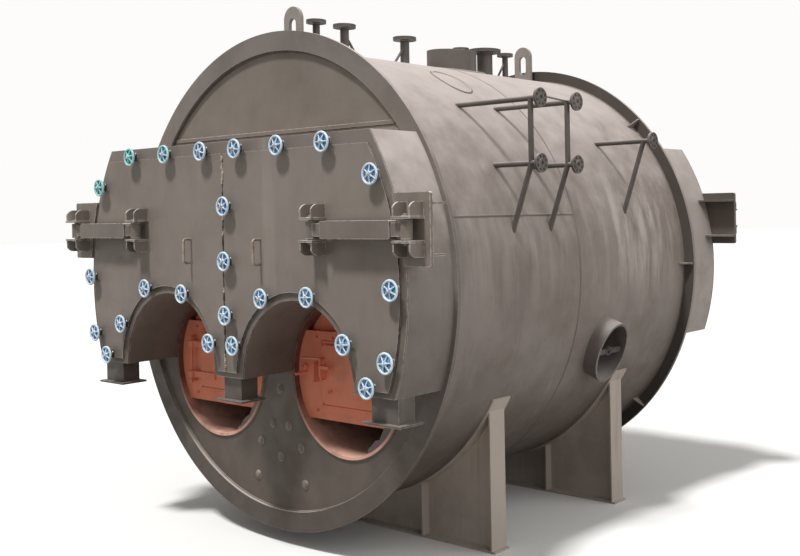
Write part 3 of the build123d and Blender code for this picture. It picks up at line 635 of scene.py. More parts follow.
def make_finishes(colours):
    """Every finish of the boiler by name."""
    for key, maker in GROUP_MAKERS.items():
        GROUPS[key] = maker()
    base, dark, pale = (tuple(tone) for tone in (colours.primer, colours.primer_dark, colours.primer_pale))

    def primed(key, colour, darker, paler=pale, name="", **levels):
        tones = (srgb(*tone) if len(tone) == 3 else tone for tone in (colour, darker, paler))
        FINISH[key] = primer(name or key + "_primer", *tones, **levels)

    low = {"top": AXIS_Z + 0.35, "floor": AXIS_Z - 1.0}
    foot = {"soil": 0.8, "floor": AXIS_Z - 1.5}
    worn = {"edge": 1.0, "wear": 0.007, "runs": 0.3, "dust": 0.8}
    sharp = {"edge": 1.0, "wear": 0.006}
    primed("shell", base, dark, runs=0.6, wash=0.5, stretch=0.05, dust=0.72, belt=0.62, **foot)
    primed("ring", (124, 116, 110), (108, 100, 94), runs=0.2, wash=0.0, dust=0.8, **foot)
    primed("rear_ring", base, dark, dust=0.6, shade=0.85, shade_low=0.5, shade_high=0.95)
    primed("end_plate", (124, 116, 107), (110, 101, 92), runs=0.3, wash=0.0, soil=0.6, floor=AXIS_Z - 1.2)
    primed("stay", (140, 130, 120), (120, 108, 98), soil=0.2, **sharp)
    leaf = {"runs": 0.3, "wash": 0.12, "rust": 0.1, "soil": 0.35, "shade": 0.8, **sharp, **low}
    primed("door", (136, 127, 119), (124, 115, 107), (214, 205, 198), **leaf)
    border = {"runs": 0.4, "soil": 0.45, "top": AXIS_Z + 0.5, "floor": AXIS_Z - 0.6, **sharp}
    primed("frame", (128, 119, 112), dark, **border)
    # painted shade: the feet are written darker because they stand in the smokebox's shadow
    primed("feet", (96, 89, 83), (76, 69, 63), dust=0.15, edge=0.9, soil=0.0)
    primed("casing", (142, 133, 127), dark, runs=0.4, soil=0.6, dust=0.9, low=0.0, high=0.7, **low)
    primed("rear_casing", (172, 162, 156), (150, 140, 134), runs=0.4, soil=0.1)
    primed("arm", (124, 115, 107), (108, 99, 92), (230, 222, 214), **worn)
    primed("hinge", (136, 127, 118), (114, 105, 98), (232, 225, 218), **worn)
    # painted shade: the rear hinge plates are written darker because they sit in shadow between one another
    primed("rear_hinge", (96, 88, 82), (72, 65, 59), edge=0.7)
    primed("pipe", (98, 91, 86), (76, 70, 66), runs=0.2, dust=0.5)
    primed("nozzle", (98, 92, 88), (76, 70, 66), runs=0.2, dust=0.25)
    primed("lug", (160, 153, 147), base, runs=0.2)
    primed("manhole", (118, 110, 106), (92, 85, 80), (188, 180, 174), edge=0.9, wear=0.006)
    FINISH["saddle"] = saddle_finish("saddle_primer", tuple(colours.saddle))
    # on the fire fronts the third colour is dark, so their edges and creases darken as painted shade and
    # their pale runs turn dark
    fire = {"rust": 0.15, "runs": 0.3, "edge": 0.75, "wear": 0.005, "soil": 0.0, "dust": 0.0}
    primed("fire", tuple(colours.fire_red), (228, 134, 106), (118, 62, 48), **fire)
    FINISH["furnace"] = furnace_finish("furnace_primer")
    # each: the tone at the upper left, the colour of the painted glints, and the dirt
    gloss = (srgb(160, 226, 220), srgb(250, 252, 255), srgb(96, 150, 196))
    dish = (srgb(48, 140, 148), srgb(120, 190, 222), srgb(22, 52, 98))
    FINISH["wheel"] = enamel("wheel_enamel", tuple(colours.wheel), *gloss)
    FINISH["wheel_dark"] = enamel("wheel_recess", tuple(colours.wheel_dark), *dish, rough=0.35)
    FINISH["stud"] = steel("stud_steel", srgb(196, 202, 208), srgb(150, 140, 132))
    primed("dark", (62, 55, 50), (44, 39, 36), (120, 112, 104), "clamp_primer", rust=0.5)
    FINISH["grip"] = steel("grip_steel", srgb(164, 150, 138), srgb(120, 100, 84), rough=0.5)
    FINISH["rope"] = rope("sealing_rope")
    primed("hole", (26, 24, 23), (18, 17, 16), (40, 37, 35), "hole_shadow", dust=0.0, edge=0.0)
    primed("weld", (108, 99, 92), dark, (178, 168, 158), "weld_bead", edge=0.4, runs=0.1)


NODE_FINISH = {
    "shell": "shell", "front_ring": "ring", "rear_ring": "rear_ring", "front_end_plate": "end_plate",
    "rear_end_plate": "end_plate", "front_smokebox": "casing", "front_door_frame": "frame",
    "front_smokebox_feet": "feet", "rear_smokebox": "rear_casing", "rear_door_frame": "frame",
    "rear_door_grips": "grip", "rear_hinge_brackets": "rear_hinge", "rear_hinge_arms": "rear_hinge",
    "rear_door_yokes": "rear_hinge", "front_saddle": "saddle", "rear_saddle": "saddle",
    "top_manhole_collar": "manhole", "top_manhole_cover": "dark", "side_manhole_collar": "manhole",
    "side_manhole_cover": "dark", "front_lifting_lug": "lug", "rear_lifting_lug": "lug",
    "small_nozzles": "nozzle", "valve_nozzle": "nozzle", "steam_nozzle": "nozzle", "gauge_pipe_front": "pipe",
    "gauge_pipe_middle": "pipe", "gauge_pipe_rear": "pipe", "rear_door_clamps": "dark",
}
PAIR_FINISH = {
    "furnace": "furnace", "fire_front": "fire", "fire_door": "fire", "front_door": "door",
    "rear_door": "door", "front_door_lining": "rope", "front_door_grip": "grip",
    "front_door_clamps": "dark", "hinge_bracket": "hinge", "hinge_arm": "arm", "door_yoke": "hinge",
}
for key, finish in PAIR_FINISH.items():
    for end in ("_right", "_left"):
        NODE_FINISH[key + end] = finish


def paint_nodes():
    """Gives every plate and pipe of the frame its finish."""
    for name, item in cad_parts.items():
        item.data.materials.clear()
        item.data.materials.append(FINISH[NODE_FINISH[name]])


# Handwheels

# the doors' outline and the wheels along it, from the boiler axis
DOOR_R = 1.525
DOOR_TOP = 0.808
DOOR_BOTTOM = -0.540
DOOR_ARCH_R = 0.546
DOOR_SPLIT = -0.012
REAR_BOX_RISE = 0.040
TOP_WHEELS = (0.175, 0.574, 0.976)
SIDE_WHEEL_Z = (0.633, 0.014, -0.373)
ARCH_WHEEL_DEG = (30.0, 71.0, 115.0, 158.0)
CENTRE_WHEEL_Z = (0.480, 0.144, -0.186)
CENTRE_WHEEL_X = 0.052

# how far a wheel's centre lies from the doors' edge; a side one first along the radius, then along X
TOP_WHEEL_OUT = 0.018
LOW_WHEEL_IN = 0.022
SIDE_WHEEL_IN = (0.013, 0.010)
CORNER_WHEEL_IN = 0.128
ARCH_WHEEL_OUT = 0.012

# one clamp: the wheel's plane and the two blocks from the door face, the other heights from that plane
WHEEL_OUT = 0.048
SPOKE_IN = 0.010
SPOKE_START = 0.26
HUB = ((0.008, -0.010), (0.015, -0.008), (0.016, 0.004), (0.013, 0.009), (0.007, 0.010))
STUD = ((0.0075, 0.004 - WHEEL_OUT), (0.0075, 0.019), (0.0055, 0.021))
NUT_ACROSS = 0.022
NUT_HEIGHTS = (0.009, 0.016)
CLAMP_BLOCK = (-0.016, 0.016, -0.024, 0.024, 0.0002, 0.022)
CLAMP_JAW = (-0.012, 0.012, 0.006, 0.030, 0.006, 0.034)


def wheel_places(side, arches):
    """Handwheel centres of one door, x and z from the axis: top, side, corner and arch, or top and bottom."""
    places = [(side * x, DOOR_TOP + TOP_WHEEL_OUT) for x in TOP_WHEELS]
    low = DOOR_BOTTOM + LOW_WHEEL_IN
    if arches:
        rim, shift = SIDE_WHEEL_IN
        places += [(side * (math.sqrt((DOOR_R - rim) ** 2 - z * z) - shift), z) for z in SIDE_WHEEL_Z]
        places.append((side * (math.sqrt(DOOR_R ** 2 - low ** 2) - CORNER_WHEEL_IN), low))
        reach = DOOR_ARCH_R + ARCH_WHEEL_OUT
        for angle in np.radians(ARCH_WHEEL_DEG):
            places.append((side * (FURNACE_X + reach * math.cos(angle)), FURNACE_Z + reach * math.sin(angle)))
    else:
        places += [(side * x, low + REAR_BOX_RISE) for x in TOP_WHEELS]
    if side > 0:
        places += [(CENTRE_WHEEL_X, z) for z in CENTRE_WHEEL_Z]
    return np.array(places)


def wheel_forms(sizes):
    """One clamp facing +Z from the door face: wheel, its dark dish, stud with nut and the clamp block."""
    reach = sizes.wheel_radius - sizes.rim_radius
    rim = moved(torus(reach, sizes.rim_radius, 36, 10), (0, 0, WHEEL_OUT))
    s = np.linspace(0, 1, 5)
    path = xyz(SPOKE_IN + (reach - SPOKE_IN) * s, 0, WHEEL_OUT + 0.007 - 0.009 * s)
    spoke = tube(path, 0.0046 - 0.0012 * s, 8)
    turns = [roll(a) for a in np.arange(sizes.spokes) * 2 * np.pi / sizes.spokes + SPOKE_START]
    spokes = copies(spoke, np.zeros((len(turns), 3)), turns)
    hub = lathe(raised(HUB, WHEEL_OUT), 20)
    pan = ((SPOKE_IN, -0.006), (reach, -0.005), (reach, -0.003), (SPOKE_IN, -0.002))
    dish = lathe(raised(pan, WHEEL_OUT), 30)
    stud = lathe(raised(STUD, WHEEL_OUT), 14)
    nut = plate(hexagon(NUT_ACROSS), *(WHEEL_OUT + height for height in NUT_HEIGHTS))
    s = np.linspace(0, 1, 9)
    bolt = tube(xyz(0.014 + 0.036 * s, 0.004 + 0.020 * np.sin(s * 2.4), 0.018 + 0.010 * s), 0.004, 8)
    clamp = joined(block(*CLAMP_BLOCK), block(*CLAMP_JAW))
    return joined(rim, spokes, hub), dish, joined(stud, nut, bolt), clamp


def make_handwheels(sizes):
    """Handwheels, clamp blocks and studs on both doors of each smokebox, each wheel turned by chance."""
    wheel, dish, stud, clamp = wheel_forms(sizes)
    rng = np.random.default_rng(7)

    def layers(places, face_y, still):
        offsets = xyz(places[:, 0], face_y, AXIS_Z + places[:, 1])
        spun = [still @ roll(a) for a in rng.uniform(0, np.pi / 3, len(places))]
        parts = [(copies(wheel, offsets, spun), FINISH["wheel"])]
        for form, finish in ((dish, "wheel_dark"), (stud, "stud"), (clamp, "dark")):
            parts.append((copies(form, offsets, still), FINISH[finish]))
        return parts

    for name, side in (("right", 1), ("left", -1)):
        forms = layers(wheel_places(side, True), DOOR_FACE_Y, FORWARD)
        clamps = ("front_door_clamps_" + name,)
        add_piece("handwheels_" + name, forms, "smokebox_door_" + name, clamps)
    rear = np.vstack([wheel_places(1, False), wheel_places(-1, False)])
    forms = layers(rear, REAR_DOOR_Y, BACKWARD)
    add_piece("rear_handwheels", forms, "boiler", ("rear_door_clamps",))


# Welds: each bead as its width and its height

# girth seams by their distance from the front ring, and lengthwise seams: side, height, start and end
SEAM_Y = (0.128, 1.295)
LONG_SEAMS = ((1, 0.394, RING_T, SEAM_Y[1]), (-1, 0.62, SEAM_Y[1], LENGTH - RING_T))
TOP_MANHOLE_Y = LENGTH - 0.941
MAN_PAD_WIDE = 0.450
MAN_PAD_LONG = 0.550
FILLET = (0.012, 0.006)
PAD_BEAD = (0.022, 0.014)
MOUTH_BEAD = (0.014, 0.007)

# painted shadow along the top of the end plate's rim, under the ring's step: a dark bead's width and height,
# where it starts and how far it goes round, in radians
RIM_SHADOW = (0.020, 0.008)
RIM_SHADOW_START = 0.45
RIM_SHADOW_TURN = 2.25

# the crown's loop: its middle and its half widths, in degrees round the shell and metres along it; its
# beads by how far each lies outside the loop, with width and height
LOOP_DEG = 60.3
LOOP_WIDE_DEG = 6.3
LOOP_Y = 0.90
LOOP_LONG = 0.11
DEG_PER_METRE = 38
LOOP_BEADS = ((0.0, 0.014, 0.007), (0.011, 0.009, 0.002))

# the lap strip: its top from the axis, its thickness, height, distance from the shell and the beads' place,
# then the pale bead painted as a highlight and the dark bead below painted as shadow
LAP_TOP = 0.964
LAP_T = 0.006
LAP_HIGH = 0.022
LAP_END = 0.012
LAP_BEAD_IN = 0.0005
LAP_HIGHLIGHT_BEAD = (0.005, 0.003)
LAP_SHADE = (0.007, 0.004)


def circle_path(radius, y, count=361, start=0.0, turn=2 * np.pi, x=0, z=0):
    """Arc about a line along the boiler: (x + R cos a, y, z + R sin a) from the axis, and its outward way."""
    a = start + np.linspace(0, turn, count)
    outward = xyz(np.cos(a), 0, np.sin(a))
    return at(x, y, z) + radius * outward, outward


def make_welds(sizes):
    """Girth and lengthwise seams of the shell, and fillets at the rings, the end plate, the furnace mouths,
    the manhole's pad and a loop on the crown."""
    seam = (sizes.seam_width, sizes.seam_height)
    forms = [bead(*circle_path(SHELL_R, y, 721), *seam) for y in SEAM_Y]
    for side, z, y0, y1 in LONG_SEAMS:
        x = side * math.sqrt(SHELL_R ** 2 - z * z)
        path = at(0, 0, 0) + xyz(x, np.linspace(y0, y1, 160), z)
        forms.append(bead(path, np.tile(np.array([x, 0, z]) / SHELL_R, (160, 1)), *seam))
    for y, way in ((RING_T, 1), (LENGTH - RING_T, -1)):
        path, outward = circle_path(SHELL_R + 0.001, y + 0.001 * way)
        forms.append(fillet(path, outward, (0, way, 0), *FILLET))
    a = np.linspace(0, 2 * np.pi, 121)
    x, y = MAN_PAD_WIDE / 2 * np.cos(a), MAN_PAD_LONG / 2 * np.sin(a)
    path = at(0, 0, 0) + xyz(x, TOP_MANHOLE_Y + y, np.sqrt(SHELL_R ** 2 - x * x))
    pad = fillet(path, xyz(np.cos(a), np.sin(a), 0), (0, 0, 1), *PAD_BEAD)
    loops = []
    for grow, width, height in LOOP_BEADS:
        t = np.radians(LOOP_DEG + (LOOP_WIDE_DEG + DEG_PER_METRE * grow) * np.cos(a))
        outward = xyz(np.cos(t), 0, np.sin(t))
        path = at(0, 0, 0) + SHELL_R * outward + xyz(0, LOOP_Y + (LOOP_LONG + grow) * np.sin(a), 0)
        loops.append(bead(path, outward, width, height))
    inner = SHELL_R - SHELL_T
    path, outward = circle_path(inner - 0.002, RING_T - 0.001)
    forms.append(fillet(path, -outward, (0, -1, 0), *FILLET))
    # a dark bead as painted shadow along the upper part of the end plate's rim
    path, outward = circle_path(inner - 0.004, RING_T - 0.003, 181, RIM_SHADOW_START, RIM_SHADOW_TURN)
    rim_shadow = fillet(path, -outward, (0, -1, 0), *RIM_SHADOW)
    for side in (-1, 1):
        mouth = {"x": side * FURNACE_X, "z": FURNACE_Z}
        path, outward = circle_path(FURNACE_OUT_R + 0.002, RING_T - 0.001, 181, **mouth)
        forms.append(fillet(path, outward, (0, -1, 0), *MOUTH_BEAD))
    layers = [(joined(*forms), FINISH["weld"]), (joined(pad, loops[0]), FINISH["lug"])]
    layers.append((joined(rim_shadow, loops[1]), FINISH["dark"]))
    add_piece("shell_welds", layers, "boiler")


def make_lap_strip(sizes):
    """Lapped edge over the smokebox: a flat bar with a pale bead on its top and a dark one below it."""
    reach = math.sqrt((SHELL_R - SHELL_T) ** 2 - LAP_TOP ** 2) - LAP_END
    bar = block(-reach, reach, RING_T - LAP_T, RING_T - CLEAR, LAP_TOP - LAP_HIGH, LAP_TOP)
    top = xyz(np.linspace(-reach, reach, 90), RING_T - LAP_BEAD_IN, LAP_TOP)
    front = np.tile(np.array([0, -1, 0]), (90, 1))
    # the pale bead is painted as a highlight, the dark one below it as painted shadow
    line = fillet(top, front, (0, 0, 1), *LAP_HIGHLIGHT_BEAD)
    shade = fillet(top - np.array([0, 0, LAP_HIGH + LAP_BEAD_IN]), front, (0, 0, -1), *LAP_SHADE)
    layers = ((bar, "end_plate"), (line, "stay"), (shade, "dark"))
    forms = [(moved(form, at(0, 0, 0)), FINISH[name]) for form, name in layers]
    add_piece("lap_strip", forms, "boiler")


# Small fittings on the shell and end plate

STAYS = ((0, -0.702), (0.083, -0.931), (0.203, -1.060), (0, -1.140), (0.238, -1.287))

# a washer's radius as a multiple of the stay's and its thickness, and the rise of the dome on it
STAY_WASHER = (1.25, 0.003)
STAY_RISE = 0.011
FLANGE_BOLTS = 8


def make_stay_ends(sizes):
    """Domed stay ends between and below the furnaces: half an ellipsoid on a thin washer."""
    r = sizes.stay_radius
    wide, thick = STAY_WASHER
    t = np.linspace(0, np.pi / 2, 6)[:-1]
    dome = [(r * math.cos(k), thick + STAY_RISE * math.sin(k)) for k in t]
    form = lathe([(r * wide, 0.0), (r * wide, thick), *dome], 24)
    places = [(side * x, z) for x, z in STAYS for side in ((1,) if x == 0 else (-1, 1))]
    offsets = [at(x, RING_T - 0.0002, z) for x, z in places]
    add_piece("stay_ends", [(copies(form, offsets, FORWARD), FINISH["stay"])], "boiler")


def flange_holes(centre, way, ring_r, hole_r):
    """Dark bolt holes round a flange face: discs on a circle of radius ring_r about its centre."""
    turn = facing(way, (0, 0, 1) if abs(way[2]) < 0.9 else (0, 1, 0))
    a = (np.arange(FLANGE_BOLTS) + 0.5) * 2 * np.pi / FLANGE_BOLTS
    offsets = np.asarray(centre, float) + xyz(ring_r * np.cos(a), ring_r * np.sin(a), 0) @ turn.T
    disc = lathe([(hole_r, 0.0001), (hole_r, 0.0007), (hole_r * 0.8, 0.0009)], 16)
    return copies(disc, offsets, turn)


# the gauge flanges, y and z from the front ring and the axis; the tie rod joins the upper two in front
GAUGE_FACES = ((0.657, 1.097), (0.657, 0.705), (1.023, 1.097), (1.023, 0.705), (1.909, 0.890))
GAUGE_FACE_X = SHELL_R + 0.195
GAUGE_FLANGE_R = 0.058
GAUGE_BORE_R = 0.013
GAUGE_BOLT_R = 0.0075
GAUGE_COLLAR = ((GAUGE_BORE_R, 0), (GAUGE_BORE_R, 0.003), (0.026, 0.003), (0.027, 0))
TIE_START = (GAUGE_FACE_X - 0.008, 0.657 + 0.050, 1.105)
TIE_END = (SHELL_R + 0.13, 1.023 - 0.016, 1.100)
TIE_R = 0.006


def make_gauge_fittings(sizes):
    """Bolt holes, bores and raised faces of the gauge flanges, and the tie rod of the front two pipes."""
    holes, faces, bores = [], [], []
    for y, z in GAUGE_FACES:
        centre = at(GAUGE_FACE_X, y, z)
        holes.append(flange_holes(centre, (1, 0, 0), GAUGE_FLANGE_R * 0.72, GAUGE_BOLT_R))
        faces.append(moved(ring_lathe(GAUGE_COLLAR, 28), centre, RIGHTWARD))
        bores.append(moved(lathe([(GAUGE_BORE_R, 0.0002), (GAUGE_BORE_R, 0.0010)], 20), centre, RIGHTWARD))
    start, end = at(*TIE_START), at(*TIE_END)
    tie = tube(start + (end - start) * np.linspace(0, 1, 12)[:, None], TIE_R, 8)
    layers = [(joined(*holes, *bores), FINISH["hole"])]
    layers += [(joined(*faces), FINISH["pipe"]), (tie, FINISH["pipe"])]
    add_piece("gauge_fittings", layers, "boiler")


# the crown's nozzles: x, y, radius of the flange and of the stem, and how far the face stands over the shell
NOZZLES = (
    (0.0, 0.375, 0.066, 0.024, 0.233), (0.0, 0.622, 0.078, 0.030, 0.233),
    (-0.200, 2.023, 0.066, 0.024, 0.250), (0.0, 2.338, 0.066, 0.024, 0.217),
    (0.0, 1.197, 0.085, 0.033, 0.215), (0.0, 2.085, 0.130, 0.062, 0.221),
)
NOZZLE_BOLT_R = 0.0085
NECK_BELOW = 0.024
NECK_BEAD = (0.010, 0.005)


def make_nozzle_fittings(sizes):
    """Bolt holes in the crown flanges and the fillet weld at each stem's foot and under each flange."""
    holes, welds = [], []
    a = np.linspace(0, 2 * np.pi, 49)
    outward = unit(xyz(np.cos(a), np.sin(a), 0.9))
    for x, y, flange_r, stem_r, rise in NOZZLES:
        top = at(x, y, SHELL_R + rise)
        holes.append(flange_holes(top, (0, 0, 1), (flange_r + stem_r) / 2, NOZZLE_BOLT_R))
        ring_x, ring_y = x + stem_r * np.cos(a), y + stem_r * np.sin(a)
        foot = xyz(ring_x, ring_y, np.sqrt(SHELL_R ** 2 - ring_x ** 2))
        welds.append(bead(at(0, 0, 0) + foot, outward, *FILLET))
        neck = xyz(ring_x, ring_y, SHELL_R + rise - NECK_BELOW)
        welds.append(bead(at(0, 0, 0) + neck, outward * np.array([1, 1, -1]), *NECK_BEAD))
    layers = [(joined(*holes), FINISH["hole"]), (joined(*welds), FINISH["weld"])]
    add_piece("nozzle_fittings", layers, "boiler")


# Furnace fronts, as places from the middle of the right furnace's front; the left one is its mirror

FIRE_FACE_Y = 0.052
RIM_WIDE = 0.250
RIM_HIGH = 0.200
RIM_BAR = 0.016
RIM_DEPTH = 0.008
BOLT_Z = 0.225
LOW_BOLT_Z = -0.235
SIDE_BOLTS = (-0.40, -0.30, 0.30, 0.40)
TOP_BOLTS = (-0.15, 0.0, 0.15)
KNOB = ((0.020, CLEAR), (0.020, 0.020), (0.010, 0.024), (0.008, 0.040))
KNOB_PLACE = (-0.405, 0, 0.034)
STUB_START = (-0.402, -CLEAR, 0.0)
STUB_WAY = (-0.006, -0.085, -0.004)
LATCH = ((-0.370, 0.098), (-0.212, 0.104), (-0.204, -0.030))
LATCH_Y = -0.052
LATCH_FEET = ((-0.206, -0.028), (-0.213, 0.100))
LATCH_STUD = ((0.007, 0.022), (0.007, 0.052), (0.005, 0.054))
DOOR_STUB = ((0.007, 0.022), (0.007, 0.050), (0.012, 0.052), (0.012, 0.058))
DOOR_STUB_PLACE = (-0.14, 0, -0.10)


def fire_trim():
    """Frame of four bars round the stoking hole, hexagon bolts, and a turned knob with a stub."""
    bar, wide, high = RIM_BAR / 2, RIM_WIDE, RIM_HIGH
    forms = [block(-wide, wide, -RIM_DEPTH, -CLEAR, k * high - bar, k * high + bar) for k in (-1, 1)]
    forms += [block(k * wide - bar, k * wide + bar, -RIM_DEPTH, -CLEAR, -high, high) for k in (-1, 1)]
    spots = [(x, z) for x in SIDE_BOLTS for z in (LOW_BOLT_Z, BOLT_Z) if abs(x) < 0.37 or z > 0]
    spots += [(x, BOLT_Z) for x in TOP_BOLTS]
    offsets = [(x, -CLEAR, z) for x, z in spots if math.hypot(x, z) < FURNACE_R - 0.03]
    bolts = copies(plate(hexagon(0.018), 0, 0.010), offsets, FORWARD)
    knob = moved(lathe(KNOB, 18), KNOB_PLACE, FORWARD)
    stub = tube(np.array(STUB_START) + np.array(STUB_WAY) * np.linspace(0, 1, 8)[:, None], 0.009, 10)
    return joined(*forms, bolts, knob, stub)


def fire_latch():
    """Latch loop of the fire door: a bar along three corners, on two studs, with a turned stub."""
    corners = np.array(LATCH)
    s = np.linspace(0, 1, 14)[:, None]
    legs = [corners[i] + (corners[i + 1] - corners[i]) * s for i in range(2)]
    path = np.vstack([legs[0], legs[1][1:]])
    latch = tube(xyz(path[:, 0], LATCH_Y, path[:, 1]), 0.008, 8)
    studs = [moved(lathe(LATCH_STUD, 12), (x, 0, z), FORWARD) for x, z in LATCH_FEET]
    return joined(latch, *studs, moved(lathe(DOOR_STUB, 14), DOOR_STUB_PLACE, FORWARD))


def make_fire_fittings(sizes):
    """Trim of both fire fronts and the latches of both fire doors."""
    for name, side in (("right", 1), ("left", -1)):
        centre = at(side * FURNACE_X, FIRE_FACE_Y, FURNACE_Z)
        mirror = np.diag([side, 1, 1])
        trim = [(moved(fire_trim(), centre, mirror), FINISH["fire"])]
        add_piece("fire_front_trim_" + name, trim, "boiler", bevel=0.0015)
        latch = [(moved(fire_latch(), centre, mirror), FINISH["fire"])]
        add_piece("fire_door_latch_" + name, latch, "fire_door_" + name)


# the dark cord's radius, a cord that stands in as painted shadow in the gap, its tufts' radius, and the
# height at which each tuft starts and ends
GAP_SHADOW_R = 0.0062
TUFT_R = 0.0060
TUFTS = ((0.62, 0.80), (0.395, 0.44), (0.30, 0.33), (0.09, 0.13), (-0.05, -0.02), (-0.535, -0.43))


def make_gap_lining(sizes):
    """Sealing rope between the doors: a dark cord whose place and radius waver, with pale ragged tufts."""
    rng = np.random.default_rng(11)
    face = DOOR_FACE_Y - FRONT_Y

    def cord(z0, z1, radius, spread, proud, step):
        count = int((z1 - z0) / step)
        sway = np.cumsum(rng.normal(0, spread, count))
        sway -= np.linspace(sway[0], sway[-1], count)
        path = xyz(DOOR_SPLIT + sway, proud + rng.normal(0, 0.0008, count), np.linspace(z0, z1, count))
        return tube(at(0, 0, 0) + path, radius * (0.75 + 0.6 * rng.random(count)), 7)

    # the near-black cord is painted shadow in the gap between the doors
    dark = cord(DOOR_BOTTOM + 0.004, DOOR_TOP - 0.004, GAP_SHADOW_R, 0.0004, face + 0.002, 0.012)
    tufts = [cord(z0, z1, TUFT_R, 0.0016, face - 0.002, 0.005) for z0, z1 in TUFTS]
    layers = [(dark, FINISH["hole"]), (joined(*tufts), FINISH["rope"])]
    add_piece("door_gap_shadow_and_rope", layers, "smokebox_door_right")


# a seal's points and knots along its arc, its front and back, how deep it is and how ragged
SEAL_POINTS = 43
SEAL_KNOTS = 9
SEAL_DEG = (-24, -66)
SEAL_Y = (0.020, 0.029)
SEAL_DEPTH = (0.022, 0.058)
SEAL_RAG = 0.003


def make_ash_pit_seals(sizes):
    """Ragged sealing plates at the ash pits: crescents whose inner radius wavers with the angle."""
    rng = np.random.default_rng(5)
    a = np.radians(np.linspace(*SEAL_DEG, SEAL_POINTS))
    outer = FURNACE_R - 0.0005
    last = 4 * (SEAL_POINTS - 1)
    forms = []
    for side in (-1, 1):
        spots = np.linspace(0, SEAL_POINTS - 1, SEAL_KNOTS)
        bite = np.interp(np.arange(SEAL_POINTS), spots, rng.uniform(*SEAL_DEPTH, SEAL_KNOTS))
        bite *= np.sin(np.linspace(0.2, 2.9, SEAL_POINTS)) ** 0.5
        inner = outer - (bite + rng.uniform(-SEAL_RAG, SEAL_RAG, SEAL_POINTS))
        corners = ((inner, SEAL_Y[0]), (outer, SEAL_Y[0]), (outer, SEAL_Y[1]), (inner, SEAL_Y[1]))
        edges = [xyz(r * np.cos(a), y, r * np.sin(a)) for r, y in corners]
        points, faces = grid(np.stack(edges, 1), wrap_v=True)
        faces.append(np.array([(0, 1, 2, 3), (last, last + 3, last + 2, last + 1)]))
        forms.append((points + at(side * FURNACE_X, 0, FURNACE_Z), faces))
    add_piece("ash_pit_seals", [(joined(*forms), FINISH["casing"])], "boiler")


# a tube end and the field of them: rows from a lowest height, inside a radius and a half width
TUBE_PITCH = 0.086
TUBE_R = 0.031
TUBE_T = 0.004
TUBE_OUT = 0.007
TUBE_ROWS = 9
TUBE_LOW_Z = 0.03
TUBE_ROW_RATIO = 0.87
TUBE_COLUMNS = 16
TUBE_FIELD_R = SHELL_R - 0.16
TUBE_FIELD_X = 1.18


def make_tube_ends(sizes):
    """Fire-tube ends on the front plate behind the smokebox doors: short rings in staggered rows."""
    offsets = []
    for row in range(TUBE_ROWS):
        z = TUBE_LOW_Z + row * TUBE_PITCH * TUBE_ROW_RATIO
        for column in range(-TUBE_COLUMNS, TUBE_COLUMNS + 1):
            x = (column + 0.5 * (row % 2)) * TUBE_PITCH
            if math.hypot(x, z) < TUBE_FIELD_R and abs(x) < TUBE_FIELD_X:
                offsets.append(at(x, RING_T, z))
    inner = TUBE_R - TUBE_T
    ring = ring_lathe([(inner, 0.0), (inner, TUBE_OUT), (TUBE_R, TUBE_OUT), (TUBE_R + TUBE_T, 0.0)], 14)
    floor = lathe([(inner, CLEAR), (inner, 3 * CLEAR)], 14)
    parts = ((ring, "weld"), (floor, "hole"))
    layers = [(copies(form, offsets, FORWARD), FINISH[finish]) for form, finish in parts]
    add_piece("fire_tube_ends", layers, "boiler")


# the hinge pins by their place, the washers' profile and where the washers and split pins lie
ARM_PIN_X = 1.647
DOOR_PIN_X = 0.892
PIN_BOSS_R = 0.032
HINGE_Z = 0.335
YOKE_OUT = 0.069
WASHER = ((0.0165, 0), (0.0165, 0.004), (0.027, 0.004), (0.027, 0))
WASHER_OVER = 0.0002
WASHER_UNDER = -0.0042
SPLIT_PIN = (0.024, 0.002)
SPLIT_PIN_OVER = 0.008


def make_hinge_fittings(sizes):
    """Washers and split pins on the hinge pins of both arms."""
    pin_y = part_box("hinge_arm_right")[0].y + PIN_BOSS_R
    middle = AXIS_Z + HINGE_Z
    half, pin_r = SPLIT_PIN
    for name, side in (("right", 1), ("left", -1)):
        door = "smokebox_door_" + name
        for label, x, body in (("bracket", ARM_PIN_X, "boiler"), ("door", DOOR_PIN_X, door)):
            heights = (middle - YOKE_OUT + WASHER_UNDER, middle + YOKE_OUT + WASHER_OVER)
            forms = [moved(ring_lathe(WASHER, 24), (side * x, pin_y, height)) for height in heights]
            pin = tube(xyz(half * np.linspace(-1, 1, 7), 0, 0), pin_r, 6)
            forms.append(moved(pin, (side * x, pin_y, middle + YOKE_OUT + SPLIT_PIN_OVER)))
            add_piece(f"{label}_pin_washers_{name}", [(joined(*forms), FINISH["stud"])], body)


# Stage

FLOOR_RINGS = (0.01, 4, 10, 30, 90)
FLOOR_SIDES = 64
FLOOR_Z = -0.001
SUN_WAY = (-0.03, -0.41, 0.91)
SUN_DEG = 8.0
FILL_WAY = (0.9, 0.1, 0.5)
FILL_DEG = 60.0


def seen_by_camera(tree):
    """One where a ray comes from the camera, off a glossy face or through a clear one, and otherwise 0."""
    rays = node(tree, "ShaderNodeLightPath").outputs
    seen = maths(tree, "MAXIMUM", rays["Is Camera Ray"], rays["Is Glossy Ray"])
    return maths(tree, "MAXIMUM", seen, rays["Is Transmission Ray"])


